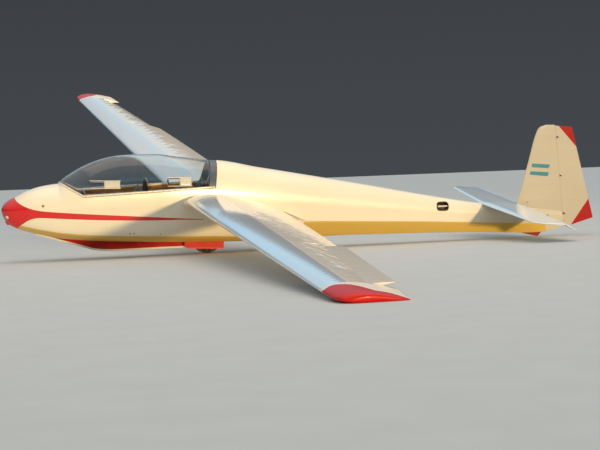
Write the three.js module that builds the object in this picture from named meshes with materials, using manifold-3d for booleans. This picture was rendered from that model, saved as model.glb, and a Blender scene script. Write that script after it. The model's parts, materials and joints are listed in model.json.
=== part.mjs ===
// Two-seat training sailplane of steel tube, plywood and fabric, parked with its port wing tip down.
// Millimetres, +Z up. The airframe is drawn level: X runs aft from the nose, Y to starboard and Z up
// from the tyre's lowest point. The last section tips it on to the three points that it rests on.
import * as THREE from 'three';
import { mergeVertices } from 'three/addons/utils/BufferGeometryUtils.js';
import Module from 'manifold-3d';

const wasm = await Module();
wasm.setup();

// Driving dimensions
const HALF_SPAN = 8340;
const SEAT_GAP = 0.3; // between pieces that touch
const COVE_GAP = 6; // between a control surface's round nose and the cove that it turns in
const END_GAP = 8; // between a control surface's ends and its neighbours
const PIN_GAP = 0.3; // round a hinge rod, pin or axle
const CABIN_WALL = 24;
const FAR = 2000; // reach of a cutting shape past what it cuts

// Stations of the fuselage. Each row gives heights and half widths of the keel flat, the lower chine,
// the upper chine, the shoulder where the side turns over into the top, and the height of the top.
const STATION_COLUMNS = ['x', 'keel', 'keelHalf', 'low', 'lowHalf', 'high', 'highHalf', 'shoulder', 'half', 'top'];
const STATIONS = [
  [0, 575, 8, 585, 14, 597, 22, 605, 26, 622],
  [30, 505, 24, 525, 50, 560, 74, 600, 82, 680],
  [80, 440, 40, 475, 88, 535, 118, 600, 126, 724],
  [170, 388, 58, 442, 130, 520, 160, 602, 168, 773],
  [300, 343, 78, 415, 175, 505, 204, 605, 210, 841],
  [500, 298, 94, 376, 218, 490, 242, 610, 247, 903],
  [720, 250, 100, 340, 246, 480, 268, 625, 272, 936],
  [1100, 211, 100, 305, 264, 470, 294, 650, 300, 1010],
  [1600, 186, 100, 284, 265, 465, 300, 670, 306, 1080],
  [2100, 169, 100, 267, 258, 455, 298, 685, 306, 1150],
  [2660, 158, 100, 254, 240, 430, 290, 690, 300, 1207],
  [3300, 156, 88, 222, 165, 398, 270, 680, 284, 1104],
  [3900, 192, 76, 208, 100, 413, 246, 645, 256, 1003],
  [4700, 202, 60, 206, 72, 391, 198, 575, 206, 864],
  [5600, 202, 48, 206, 56, 359, 146, 500, 152, 700],
  [6400, 187, 40, 191, 46, 321, 101, 440, 106, 576],
  [7000, 168, 34, 171, 38, 291, 66, 410, 70, 524],
  [7265, 173, 29, 176, 32, 300, 50, 405, 53, 497],
  [7458, 217, 26, 220, 28, 315, 38, 402, 41, 479],
  [7570, 256, 24, 259, 26, 330, 32, 400, 34, 470],
].map((row) => Object.fromEntries(STATION_COLUMNS.map((name, i) => [name, row[i]])));

// The canopy's crown line over the cockpit, as x and height
const CROWN = [
  [700, 938], [730, 965], [780, 1009], [890, 1079], [980, 1132], [1080, 1179], [1270, 1245],
  [1470, 1281], [1700, 1292], [1950, 1291], [2150, 1266], [2400, 1238], [2670, 1203],
].map(([x, top]) => ({ x, top }));
const CROWN_FROM = 700;
const CROWN_TO = 2672;

// The cockpit's sill in side view, as x and height: down to the kink, then up along one long straight
const SILL_KINK = [986, 795];
const SILL_REAR = [2664, 886];
const SILL = [[690, 944], [722, 931], [762, 919], SILL_KINK, SILL_REAR];
const CROWN_STEPS = 8; // facets from the shoulder to the top

const materials = {
  ivoryPaint: paint('ivory gloss paint', 0xf3ecd8),
  redPaint: paint('red gloss paint', 0xd4140b),
  wingFabric: paint('doped wing fabric', 0xeeeae2),
  acrylic: new THREE.MeshStandardMaterial({ color: 0xcfdde0, roughness: 0.05, transparent: true, opacity: 0.35 }),
  plywood: new THREE.MeshStandardMaterial({ color: 0xb98a55, roughness: 0.6 }),
  seatCloth: new THREE.MeshStandardMaterial({ color: 0x5b3a2c, roughness: 0.9 }),
  blackPaint: new THREE.MeshStandardMaterial({ color: 0x1b1c1e, roughness: 0.6 }),
  rubber: new THREE.MeshStandardMaterial({ color: 0x1a1a1a, roughness: 0.9 }),
  steel: new THREE.MeshStandardMaterial({ color: 0x9a9da0, roughness: 0.35, metalness: 1 }),
  alloy: new THREE.MeshStandardMaterial({ color: 0xb9bcbf, roughness: 0.4, metalness: 1 }),
};

function paint(name, color) {
  return new THREE.MeshStandardMaterial({ name, color, roughness: 0.25 });
}

// Smooth line through a table's rows that never overshoots them: the slope at a row is the harmonic mean
// of its neighbours' slopes, or level where they change sign.
function smooth(rows, column, x) {
  const last = rows.length - 1;
  if (x <= rows[0].x) return rows[0][column];
  if (x >= rows[last].x) return rows[last][column];
  let i = 0;
  while (x > rows[i + 1].x) i += 1;
  const rise = (k) => (rows[k + 1][column] - rows[k][column]) / (rows[k + 1].x - rows[k].x);
  const slope = (k) => {
    if (k === 0) return rise(0);
    if (k === last) return rise(last - 1);
    const before = rise(k - 1);
    const after = rise(k);
    return before * after <= 0 ? 0 : (2 * before * after) / (before + after);
  };
  const width = rows[i + 1].x - rows[i].x;
  const t = (x - rows[i].x) / width;
  const start = rows[i][column] * (1 + 2 * t) * (1 - t) ** 2 + rows[i + 1][column] * t * t * (3 - 2 * t);
  return start + width * (slope(i) * t * (1 - t) ** 2 - slope(i + 1) * t * t * (1 - t));
}

// One closed ring of the fuselage at x. An inset draws it that much smaller all round.
function bodyRing(x, inset = 0) {
  const at = Object.fromEntries(STATION_COLUMNS.map((name) => [name, smooth(STATIONS, name, x)]));
  if (x > CROWN_FROM && x < CROWN_TO) at.top = smooth(CROWN, 'top', x);
  const side = [
    [Math.max(at.keelHalf - inset, 1), at.keel + inset],
    [Math.max(at.lowHalf - inset, 2), at.low + inset * 0.5],
    [Math.max(at.highHalf - inset, 3), at.high],
  ];
  const half = Math.max(at.half - inset, 4);
  const rise = at.top - inset - at.shoulder;
  for (let i = 0; i <= CROWN_STEPS; i += 1) {
    const turn = (i / CROWN_STEPS) * (Math.PI / 2);
    side.push([half * Math.cos(turn), at.shoulder + rise * Math.sin(turn)]);
  }
  side[side.length - 1][0] = 0;
  const mirrored = side.slice(0, -1).reverse().map(([y, z]) => [-y, z]);
  return [...side, ...mirrored].map(([y, z]) => new THREE.Vector3(x, y, z));
}

// A closed surface through rings of equal count, with flat ends
function loft(rings) {
  const count = rings[0].length;
  const positions = rings.flat().flatMap((p) => [p.x, p.y, p.z]);
  const index = [];
  for (let r = 0; r < rings.length - 1; r += 1) {
    for (let i = 0; i < count; i += 1) {
      const a = r * count + i;
      const b = r * count + ((i + 1) % count);
      index.push(a, b, a + count, b, b + count, a + count);
    }
  }
  const endAt = (rings.length - 1) * count;
  for (const [a, b, c] of flatTriangles(rings[0])) index.push(a, c, b);
  for (const [a, b, c] of flatTriangles(rings[rings.length - 1])) index.push(endAt + a, endAt + b, endAt + c);
  const geometry = new THREE.BufferGeometry();
  geometry.setAttribute('position', new THREE.Float32BufferAttribute(positions, 3));
  geometry.setIndex(index);
  return outward(geometry);
}

// Triangles of a flat ring that keep the ring's own turning sense
function flatTriangles(ring) {
  const normal = new THREE.Vector3();
  ring.forEach((p, i) => normal.add(new THREE.Vector3().crossVectors(p, ring[(i + 1) % ring.length])));
  normal.normalize();
  const u = new THREE.Vector3().subVectors(ring[1], ring[0]).normalize();
  const v = new THREE.Vector3().crossVectors(normal, u);
  const flat = ring.map((p) => new THREE.Vector2(p.dot(u), p.dot(v)));
  return THREE.ShapeUtils.triangulateShape(flat, []);
}

// Turns a closed surface's faces to point out
function outward(geometry) {
  const p = geometry.getAttribute('position');
  const index = geometry.getIndex().array;
  const [a, b, c] = [new THREE.Vector3(), new THREE.Vector3(), new THREE.Vector3()];
  let volume = 0;
  for (let i = 0; i < index.length; i += 3) {
    a.fromBufferAttribute(p, index[i]);
    b.fromBufferAttribute(p, index[i + 1]);
    c.fromBufferAttribute(p, index[i + 2]);
    volume += a.dot(b.clone().cross(c));
  }
  if (volume < 0) {
    for (let i = 0; i < index.length; i += 3) [index[i + 1], index[i + 2]] = [index[i + 2], index[i + 1]];
  }
  return geometry;
}

function solid(geometry) {
  const bare = new THREE.BufferGeometry();
  bare.setAttribute('position', geometry.getAttribute('position').clone());
  if (geometry.getIndex()) bare.setIndex(geometry.getIndex().clone());
  const merged = mergeVertices(bare, 1e-3);
  const vertProperties = new Float32Array(merged.getAttribute('position').array);
  const triVerts = new Uint32Array(merged.getIndex().array);
  return new wasm.Manifold(new wasm.Mesh({ numProp: 3, vertProperties, triVerts }));
}

function surface(manifold) {
  const mesh = manifold.getMesh();
  const geometry = new THREE.BufferGeometry();
  geometry.setAttribute('position', new THREE.BufferAttribute(mesh.vertProperties, 3));
  geometry.setIndex(new THREE.BufferAttribute(mesh.triVerts, 1));
  return geometry;
}

function box(fromX, toX, fromY, toY, fromZ, toZ) {
  const geometry = new THREE.BoxGeometry(toX - fromX, toY - fromY, toZ - fromZ);
  return geometry.translate((fromX + toX) / 2, (fromY + toY) / 2, (fromZ + toZ) / 2);
}

// A side-view outline of x and height, carried across from one Y to another
function sidePlate(outline, fromY, toY) {
  return loft([fromY, toY].map((y) => outline.map(([x, z]) => new THREE.Vector3(x, y, z))));
}

// A closed revolved profile of radius and offset, about an axis through centre along Y
function turned(profile, centre, sides) {
  const points = [...profile, profile[0]].map(([radius, offset]) => new THREE.Vector2(radius, offset));
  const geometry = new THREE.LatheGeometry(points, sides);
  return outward(mergeVertices(stripped(geometry), 1e-3)).translate(centre.x, centre.y, centre.z);
}

function stripped(geometry) {
  geometry.deleteAttribute('normal');
  geometry.deleteAttribute('uv');
  return geometry;
}

function rodGeometry(from, to, radius, sides = 16) {
  const along = new THREE.Vector3().subVectors(to, from);
  const geometry = new THREE.CylinderGeometry(radius, radius, along.length(), sides);
  const turn = new THREE.Quaternion().setFromUnitVectors(new THREE.Vector3(0, 1, 0), along.clone().normalize());
  const middle = new THREE.Vector3().addVectors(from, to).multiplyScalar(0.5);
  return geometry.applyQuaternion(turn).translate(middle.x, middle.y, middle.z);
}

function between(from, to, share) {
  return new THREE.Vector3().lerpVectors(from, to, share);
}

const airframe = new THREE.Group();

function add(name, shape, material) {
  const geometry = shape.isBufferGeometry ? shape : surface(shape);
  const mesh = new THREE.Mesh(geometry, material);
  mesh.name = name;
  airframe.add(mesh);
  return mesh;
}

// Main wheel, in a well in the belly behind the rear seat
const WHEEL = { x: 2610, radius: 200, width: 96, rim: 112, hub: 34, axle: 10 };
const WELL = { from: 2384, to: 2838, half: 66, top: 424 };
const well = solid(box(WELL.from, WELL.to, -WELL.half, WELL.half, -FAR / 10, WELL.top));
const wheelCentre = new THREE.Vector3(WHEEL.x, 0, WHEEL.radius);

function addWheel() {
  const half = WHEEL.width / 2;
  const tread = [];
  const steps = 8;
  for (let i = 0; i <= steps; i += 1) {
    const turn = Math.PI * (i / steps);
    const bulge = (WHEEL.radius - WHEEL.rim) * Math.sin(turn) ** 0.7;
    tread.push([WHEEL.rim + bulge, -half * Math.cos(turn)]);
  }
  add('main_tyre', turned(tread, wheelCentre, 40), materials.rubber);
  const bore = WHEEL.axle + PIN_GAP;
  const rim = WHEEL.rim - SEAT_GAP;
  const hub = [
    [bore, -half + 4], [WHEEL.hub, -half + 4], [WHEEL.hub, -14], [rim - 16, -14], [rim - 8, -half + 6], [rim, -half + 2],
    [rim, half - 2], [rim - 8, half - 6], [rim - 16, 14], [WHEEL.hub, 14], [WHEEL.hub, half - 4], [bore, half - 4],
  ];
  add('main_wheel_hub', turned(hub, wheelCentre, 40), materials.alloy);
  const axleEnd = WELL.half + 12;
  const ends = [-axleEnd, axleEnd].map((y) => new THREE.Vector3(WHEEL.x, y, WHEEL.radius));
  add('wheel_axle', rodGeometry(ends[0], ends[1], WHEEL.axle), materials.steel);
}

// Fuselage shell: nose cap, hollow cockpit, wing bay, rear fuselage and tail cone, end to end
const SPLITS = { nose: 360, seat: 1560, cockpit: 2760, wingBay: 3900, rear: 6400 };
const CABIN = { from: 400, to: 2640 };
const BODY_END = 7560;
const BODY_RINGS = [
  12, 30, 54, 80, 120, 170, 230, 300, 360, 440, 540, 640, 700, 716, 730, 780, 840, 900, 980, 1080, 1200, 1350,
  1560, 1850, 2100, 2400, 2600, 2672, 2760, 2900, 3100, 3300, 3600, 3900, 4300, 4700, 5150, 5600, 6000, 6400,
  6600, 6800, 7000, 7130, 7265, 7360, 7458,
];

// A length of the fuselage's outer shape, drawn smaller all round by the inset
function bodyLoft(from, to, inset = 0) {
  const middles = BODY_RINGS.filter((x) => x > from + 1 && x < to - 1);
  const xs = [from + SEAT_GAP / 2, ...middles, to - SEAT_GAP / 2];
  return solid(loft(xs.map((x) => bodyRing(x, inset))));
}

const SILL_LIFT = 5; // clearance between the canopy's rail and the sill
const RAIL = 20; // height of the canopy's rail
const HOOP = 85; // width of the canopy's rear hoop
const HOOP_LEAN = 0.145; // the hoop's rear edge leans aft by this share of its height
const HINGE_SLOPE = (SILL_REAR[1] - SILL_KINK[1]) / (SILL_REAR[0] - SILL_KINK[0]);
const sillAt = (x) => SILL_KINK[1] + (x - SILL_KINK[0]) * HINGE_SLOPE;

// The space over the sill, raised by lift and kept back from the fixed deck behind by set
function overSill(lift, set, roof = 1500) {
  const rearAt = (z) => [SILL_REAR[0] - set + HOOP_LEAN * (z - SILL_REAR[1]), z];
  const low = SILL.slice(0, -1).map(([x, z]) => [x, z + lift]);
  const outline = [[SILL[0][0], roof], ...low, rearAt(SILL_REAR[1] + lift), rearAt(roof)];
  return solid(sidePlate(outline, -FAR, FAR));
}

const cabin = bodyLoft(CABIN.from, CABIN.to, CABIN_WALL + SEAT_GAP);
const wholeBody = bodyLoft(0, BODY_END, -SEAT_GAP);

// Rudder post line, fin and rudder
const FIN = {
  post: [{ z: 267, x: 7570 }, { z: 1626, x: 7380 }],
  nose: [30, 16], // half thickness at the post, at its foot and head
  trail: [{ z: 352, x: 8000 }, { z: 1600, x: 7620 }],
  lead: [{ z: 604, x: 6880 }, { z: 1552, x: 7120 }],
};
const along = (line, z) => line[0].x + ((z - line[0].z) * (line[1].x - line[0].x)) / (line[1].z - line[0].z);
const postShare = (z) => (z - FIN.post[0].z) / (FIN.post[1].z - FIN.post[0].z);
const postNose = (z) => FIN.nose[0] + postShare(z) * (FIN.nose[1] - FIN.nose[0]);

// The space that a surface turns in: a round trough of the given radius, open aft
function troughRing(centre, radius, place) {
  const wide = radius + 200;
  const ring = [[FAR, -wide], [FAR, wide], [0, wide]];
  const steps = 8;
  for (let i = 0; i <= steps; i += 1) {
    const turn = Math.PI / 2 + Math.PI * (i / steps);
    ring.push([radius * Math.cos(turn), radius * Math.sin(turn)]);
  }
  ring.push([0, -wide]);
  return ring.map(([aft, across]) => place(centre, aft, across));
}

const finPlace = (centre, aft, across) => new THREE.Vector3(centre.x + aft, across, centre.z);
const finTrough = solid(loft([150, 1750].map((z) =>
  troughRing({ x: along(FIN.post, z), z }, postNose(z) + COVE_GAP, finPlace))));

// Lifting hand-holds: a round-cornered pocket in each side of the rear fuselage, with a bar along it
const HANDHOLD = { x: 5771, z: 567, length: 150, height: 96, corner: 30, web: 45, barRadius: 9, barY: 100 };

function withHandholds(body) {
  const { length, height, corner } = HANDHOLD;
  const outline = new THREE.Shape();
  const [right, top] = [length / 2, height / 2];
  outline.moveTo(right, -top + corner);
  outline.absarc(right - corner, top - corner, corner, 0, Math.PI / 2);
  outline.absarc(-right + corner, top - corner, corner, Math.PI / 2, Math.PI);
  outline.absarc(-right + corner, -top + corner, corner, Math.PI, 1.5 * Math.PI);
  outline.absarc(right - corner, -top + corner, corner, 1.5 * Math.PI, 2 * Math.PI);
  const rim = outline.getPoints(4).map((p) => [HANDHOLD.x + p.x, HANDHOLD.z + p.y]);
  const ring = rim.filter(([x, z], i) => i === 0 || Math.hypot(x - rim[i - 1][0], z - rim[i - 1][1]) > 0.1)
    .filter(([x, z], i) => i === 0 || Math.hypot(x - rim[0][0], z - rim[0][1]) > 0.1);
  let shell = body;
  for (const sign of [-1, 1]) {
    shell = shell.subtract(solid(sidePlate(ring, sign * HANDHOLD.web, sign * FAR)));
    const ends = [-1, 1].map((end) =>
      new THREE.Vector3(HANDHOLD.x + end * (right + 5), sign * HANDHOLD.barY, HANDHOLD.z));
    shell = shell.add(solid(rodGeometry(ends[0], ends[1], HANDHOLD.barRadius, 12)));
  }
  return shell;
}

function addFuselage() {
  add('nose_cap', bodyLoft(0, SPLITS.nose), materials.redPaint);
  const hollow = bodyLoft(CABIN.from, CABIN.to, CABIN_WALL).add(overSill(0, 0)).add(well);
  const front = bodyLoft(SPLITS.nose, SPLITS.seat).subtract(hollow);
  add('cockpit_shell_front', front, materials.ivoryPaint);
  const rear = bodyLoft(SPLITS.seat, SPLITS.cockpit).subtract(hollow);
  add('cockpit_shell_rear', rear, materials.ivoryPaint);
  const wingBay = bodyLoft(SPLITS.cockpit, SPLITS.wingBay).subtract(well);
  add('wing_bay_fuselage', wingBay, materials.ivoryPaint);
  add('rear_fuselage', withHandholds(bodyLoft(SPLITS.wingBay, SPLITS.rear)), materials.ivoryPaint);
  const tubeRoom = TAIL.nose[0] + COVE_GAP;
  const tubeNotch = solid(box(TAIL.hingeX - tubeRoom, TAIL.hingeX + tubeRoom, -400, 400,
    TAIL.hingeZ - tubeRoom, FAR));
  const rodHole = solid(rodGeometry(rudderBore[0], rudderBore[1], LUGS.rod + PIN_GAP, 12));
  const cone = bodyLoft(SPLITS.rear, BODY_END).subtract(finTrough).subtract(tubeNotch)
    .add(rudderLug(LUGS.z[0])).subtract(rodHole);
  add('tail_cone', cone, materials.ivoryPaint);
}

// Canopy: a blown bubble in a light frame, hinged on the starboard sill
const HINGES = { x: [1240, 2320], length: 70, knuckle: 30, pin: 5, eye: 9, out: 14, drop: 12 };
const skinAt = (x, z) => {
  const half = smooth(STATIONS, 'half', x);
  const shoulder = smooth(STATIONS, 'shoulder', x);
  const lift = (z - shoulder) / (smooth(CROWN, 'top', x) - shoulder);
  return half * Math.sqrt(1 - lift * lift);
};
const hingeY = Math.max(...HINGES.x.map((x) => skinAt(x, sillAt(x)))) + HINGES.out;
const hingePoint = (x) => new THREE.Vector3(x, hingeY, sillAt(x) - HINGES.drop);

const GLASS = 4;
const GLASS_JOINT = 1720; // the bubble is blown in two halves that butt together here
// Vent windows in the bubble's port side: the hole, and the pane slid aft of it on the outside
const VENTS = [
  { name: 'vent_pane_front', open: [1080, 1250], openFoot: 914, openHead: 978, pane: [1244, 1444], paneFoot: 906,
    paneHead: 990 },
  { name: 'vent_pane_rear', open: [2058, 2206], openFoot: 930, openHead: 1008, pane: [2200, 2350], paneFoot: 922,
    paneHead: 1018 },
];

function addCanopy() {
  const outer = bodyLoft(SPLITS.nose, SPLITS.cockpit);
  const inner = (inset) => bodyLoft(SPLITS.nose - 5, SPLITS.cockpit + 5, inset);
  const over = overSill(SILL_LIFT, SILL_LIFT);
  const glassZone = overSill(SILL_LIFT + RAIL, SILL_LIFT + HOOP);
  let frame = outer.subtract(inner(14)).intersect(over).subtract(glassZone);
  for (const x of HINGES.x) {
    const at = hingePoint(x);
    const [from, to] = [x - HINGES.knuckle / 2, x + HINGES.knuckle / 2];
    const strap = solid(box(from, to, hingeY - HINGES.eye + 2, hingeY + HINGES.eye - 2, at.z, sillAt(x) + 24));
    const foot = solid(box(from, to, hingeY - HINGES.out - 8, hingeY, sillAt(x) + 10, sillAt(x) + 24));
    const eye = solid(rodGeometry(new THREE.Vector3(from, at.y, at.z), new THREE.Vector3(to, at.y, at.z), HINGES.eye));
    frame = frame.add(strap).add(foot).add(eye);
  }
  const pinLine = HINGES.x.map((x, i) => hingePoint(x + (i === 0 ? -FAR : FAR)));
  frame = frame.subtract(solid(rodGeometry(pinLine[0], pinLine[1], HINGES.pin + PIN_GAP)));
  add('canopy_frame', frame, materials.ivoryPaint);
  let bubble = outer.subtract(inner(GLASS))
    .intersect(overSill(SILL_LIFT + RAIL + SEAT_GAP, SILL_LIFT + HOOP + SEAT_GAP));
  for (const { open, openFoot, openHead } of VENTS) {
    bubble = bubble.subtract(solid(box(open[0], open[1], -FAR, 0, openFoot, openHead)));
  }
  const [fore, rear] = [[-FAR, GLASS_JOINT], [GLASS_JOINT + SEAT_GAP, 2 * FAR]].map(([from, to]) =>
    solid(box(from, to, -FAR, FAR, 0, FAR)));
  add('canopy_glass_front', bubble.intersect(fore), materials.acrylic);
  add('canopy_glass_rear', bubble.intersect(rear), materials.acrylic);
  const slider = bodyLoft(SPLITS.nose, SPLITS.cockpit, -SEAT_GAP - GLASS).subtract(inner(-SEAT_GAP));
  for (const { name, pane, paneFoot, paneHead } of VENTS) {
    add(name, slider.intersect(solid(box(pane[0], pane[1], -FAR, 0, paneFoot, paneHead))), materials.acrylic);
  }
  const names = ['canopy_hinge_front', 'canopy_hinge_rear'];
  HINGES.x.forEach((x, i) => {
    const at = hingePoint(x);
    const reach = HINGES.length / 2;
    const body = solid(box(x - reach, x + reach, hingeY - 80, hingeY + 8, at.z - 22, at.z + 8));
    const slot = solid(box(x - HINGES.knuckle / 2 - 1, x + HINGES.knuckle / 2 + 1, hingeY - 12, hingeY + 20,
      at.z - 12, at.z + 20));
    const [from, to] = [hingePoint(x - reach), hingePoint(x + reach)];
    const clevis = body.subtract(wholeBody).subtract(slot).add(solid(rodGeometry(from, to, HINGES.pin)));
    add(names[i], clevis, materials.steel);
  });
}

// Cockpit fittings: floor, wheel box, two seats, two instrument panels, sticks and rudder pedals
const FLOOR = { line: [[520, 384], [1130, 310], [2340, 272]], thick: 10 };

function addCockpit() {
  const raised = (lift) => FLOOR.line.map(([x, z]) => [x, z + lift]);
  const floor = solid(sidePlate([...raised(0), ...raised(FLOOR.thick).reverse()], -FAR, FAR)).intersect(cabin);
  add('cockpit_floor', floor, materials.plywood);
  const standing = [...raised(FLOOR.thick + SEAT_GAP), [2640, 290], [2640, 1500], [520, 1500]];
  const overFloor = solid(sidePlate(standing, -FAR, FAR)).intersect(cabin);
  const boxFront = FLOOR.line[2][0] + SEAT_GAP;
  const boxWall = 22;
  const wheelBox = solid(box(boxFront, CABIN.to - SEAT_GAP, -WELL.half - boxWall, WELL.half + boxWall, 120,
    WELL.top + boxWall)).intersect(cabin).subtract(well)
    .subtract(solid(rodGeometry(new THREE.Vector3(WHEEL.x, -FAR, WHEEL.radius),
      new THREE.Vector3(WHEEL.x, FAR, WHEEL.radius), WHEEL.axle + PIN_GAP)));
  add('wheel_box', wheelBox, materials.plywood);
  // Each seat is one moulded pan and back. Columns: name, front edge, floor it stands on, pan height,
  // back foot, back head as x and height, half width.
  const seats = [
    ['front_seat', 1130, 395, 1500, [1720, 870], 205],
    ['rear_seat', 1990, 505, 2335, [2545, 960], 205],
  ];
  for (const [name, front, pan, foot, head, half] of seats) {
    const skin = 26;
    const outline = [
      [front, 200], [front, pan], [front + 60, pan + 14], [foot - 60, pan - 34], [foot, pan - 10],
      head, [head[0] + skin, head[1]], [foot + skin, pan - 40], [foot - 10, pan - 60], [foot - 10, 200],
    ];
    add(name, solid(sidePlate(outline, -half, half)).intersect(overFloor), materials.seatCloth);
  }
  // Instrument panels: a round-headed board on a cross beam from side to side of the cabin.
  // Columns: name, x, beam's lower edge, beam's top, board's top, board's half width
  const panels = [['front_panel', 1010, 620, 700, 838, 215], ['rear_panel', 1800, 700, 780, 985, 190]];
  const board = 14;
  for (const [name, x, foot, beam, head, half] of panels) {
    const arch = [];
    for (let i = 0; i <= 12; i += 1) {
      const turn = Math.PI * (i / 12);
      arch.push([half * Math.cos(turn), head - 90 + 90 * Math.sin(turn)]);
    }
    const outline = [[half, foot + 20], ...arch, [-half, foot + 20]];
    const plate = solid(loft([x, x + board].map((at) => outline.map(([y, z]) => new THREE.Vector3(at, y, z)))));
    const crossBeam = solid(box(x, x + board, -FAR, FAR, foot, beam));
    add(name, plate.add(crossBeam).intersect(cabin), materials.blackPaint);
  }
  // Columns: name, x of the foot, height of the grip's top
  const sticks = [['front_stick', 1085, 620], ['rear_stick', 1930, 700]];
  for (const [name, x, head] of sticks) {
    const post = solid(rodGeometry(new THREE.Vector3(x, 0, 200), new THREE.Vector3(x + 30, 0, head - 110), 11, 12));
    const grip = solid(rodGeometry(new THREE.Vector3(x + 30, 0, head - 120), new THREE.Vector3(x + 42, 0, head), 17, 12));
    const boot = solid(rodGeometry(new THREE.Vector3(x, 0, 200), new THREE.Vector3(x + 8, 0, 380), 34, 12));
    add(name, post.add(grip).add(boot).intersect(overFloor), materials.blackPaint);
  }
  for (const [side, y] of [['port', -95], ['starboard', 95]]) {
    const pedal = sidePlate([[590, 300], [548, 570], [560, 574], [650, 300]], y - 42, y + 42);
    add(`rudder_pedal_${side}`, solid(pedal).intersect(overFloor), materials.alloy);
  }
}

// Wing: forward-swept, straight-tapered panels with a cambered section, 15% thick
const WING = {
  lead: [2267, 1945], chord: [1236, 622], height: [713, 1213], incidence: [6, 1], reference: 8300,
  root: 620, endRib: 7800, camber: 0.04, crest: 0.4, thickness: [0.155, 0.14], trail: 3,
};
// Where the root fairing meets the fuselage side its section is longer, lower and more steeply set
const FILLET = { y: 250, lead: 2235, height: 680, chord: 1655, incidence: 8.5, sweep: 2.2 };
const AILERON = { from: 5230, to: 7730, chord: [218, 258], rest: 12.5, nose: 0.034, rod: 5 };
const UPPER = [1, 0.85, 0.7, 0.55, 0.42, 0.3, 0.2, 0.12, 0.06, 0.02];
const LOWER = [0, 0.02, 0.08, 0.2, 0.45, 0.75, 1];
const mix = (pair, t) => pair[0] + (pair[1] - pair[0]) * t;

// Height of the camber line and half thickness at a share of the chord, both per unit of chord
function sectionAt(share, thickness) {
  const { camber, crest } = WING;
  const rise = share < crest
    ? (camber / crest ** 2) * (2 * crest * share - share ** 2)
    : (camber / (1 - crest) ** 2) * (1 - 2 * crest + 2 * crest * share - share ** 2);
  const half = 5 * thickness * (0.2969 * Math.sqrt(share) - 0.126 * share - 0.3516 * share ** 2
    + 0.2843 * share ** 3 - 0.1036 * share ** 4);
  return { rise, half };
}

// The wing's section at span station y: leading edge, its height, chord, incidence in degrees and thickness.
// The incidence washes out fast near the root and hardly at all near the tip.
function wingStation(y) {
  const t = Math.abs(y) / WING.reference;
  const station = {
    lead: mix(WING.lead, t),
    height: mix(WING.height, t),
    chord: mix(WING.chord, t),
    incidence: WING.incidence[1] + (WING.incidence[0] - WING.incidence[1]) * (1 - t) ** 2,
    thickness: mix(WING.thickness, t),
  };
  const inboard = THREE.MathUtils.clamp((WING.root - Math.abs(y)) / (WING.root - FILLET.y), 0, 1);
  for (const key of ['lead', 'height', 'chord', 'incidence']) {
    station[key] = mix([station[key], FILLET[key]], inboard ** FILLET.sweep);
  }
  return station;
}

// A point of the wing at span station y, a share of the chord and so far above the chord line
function wingPoint(y, share, up) {
  const { lead, height, chord, incidence } = wingStation(y);
  const tilt = THREE.MathUtils.degToRad(incidence);
  const [aft, lift] = [share * chord, up * chord];
  return new THREE.Vector3(
    lead + aft * Math.cos(tilt) + lift * Math.sin(tilt),
    y,
    height - aft * Math.sin(tilt) + lift * Math.cos(tilt),
  );
}

// One ring of the wing. Shrink pulls its front and its thickness in, for the rounded tip.
function wingRing(y, shrink = { front: 0, thick: 1 }) {
  const { chord, thickness } = wingStation(y);
  const point = (share, sense) => {
    const { rise, half } = sectionAt(share, thickness);
    const edge = (WING.trail / 2 / chord) * share;
    const up = rise * shrink.thick + sense * (half * shrink.thick + edge);
    return wingPoint(y, shrink.front + share * (1 - shrink.front), up);
  };
  return [...UPPER.map((share) => point(share, 1)), ...LOWER.map((share) => point(share, -1))];
}

const aileronShare = (y) => {
  const t = (Math.abs(y) - AILERON.from) / (AILERON.to - AILERON.from);
  return 1 - mix(AILERON.chord, t) / wingStation(y).chord;
};
const aileronAxis = (y) => {
  const share = aileronShare(y);
  return wingPoint(y, share, sectionAt(share, wingStation(y).thickness).rise);
};
const aileronNose = (y) => AILERON.nose * wingStation(y).chord;
const wingPlace = (centre, aft, across) => new THREE.Vector3(centre.x + aft, centre.y, centre.z + across);

// A control surface's ring: a round nose about the hinge line that thins to the trailing edge
function surfaceRing(centre, nose, chord, droop, place) {
  const steps = 8;
  const ring = [[chord, droop - WING.trail / 2], [chord, droop + WING.trail / 2]];
  for (let i = 0; i <= steps; i += 1) {
    const turn = Math.PI / 2 + Math.PI * (i / steps);
    ring.push([nose * Math.cos(turn), nose * Math.sin(turn)]);
  }
  return ring.map(([aft, across]) => place(centre, aft, across));
}

// Turns a mesh about an axis through a point
function turnAbout(mesh, point, axis, degrees) {
  mesh.quaternion.setFromAxisAngle(axis, THREE.MathUtils.degToRad(degrees));
  mesh.position.copy(point).sub(point.clone().applyQuaternion(mesh.quaternion));
}

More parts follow.
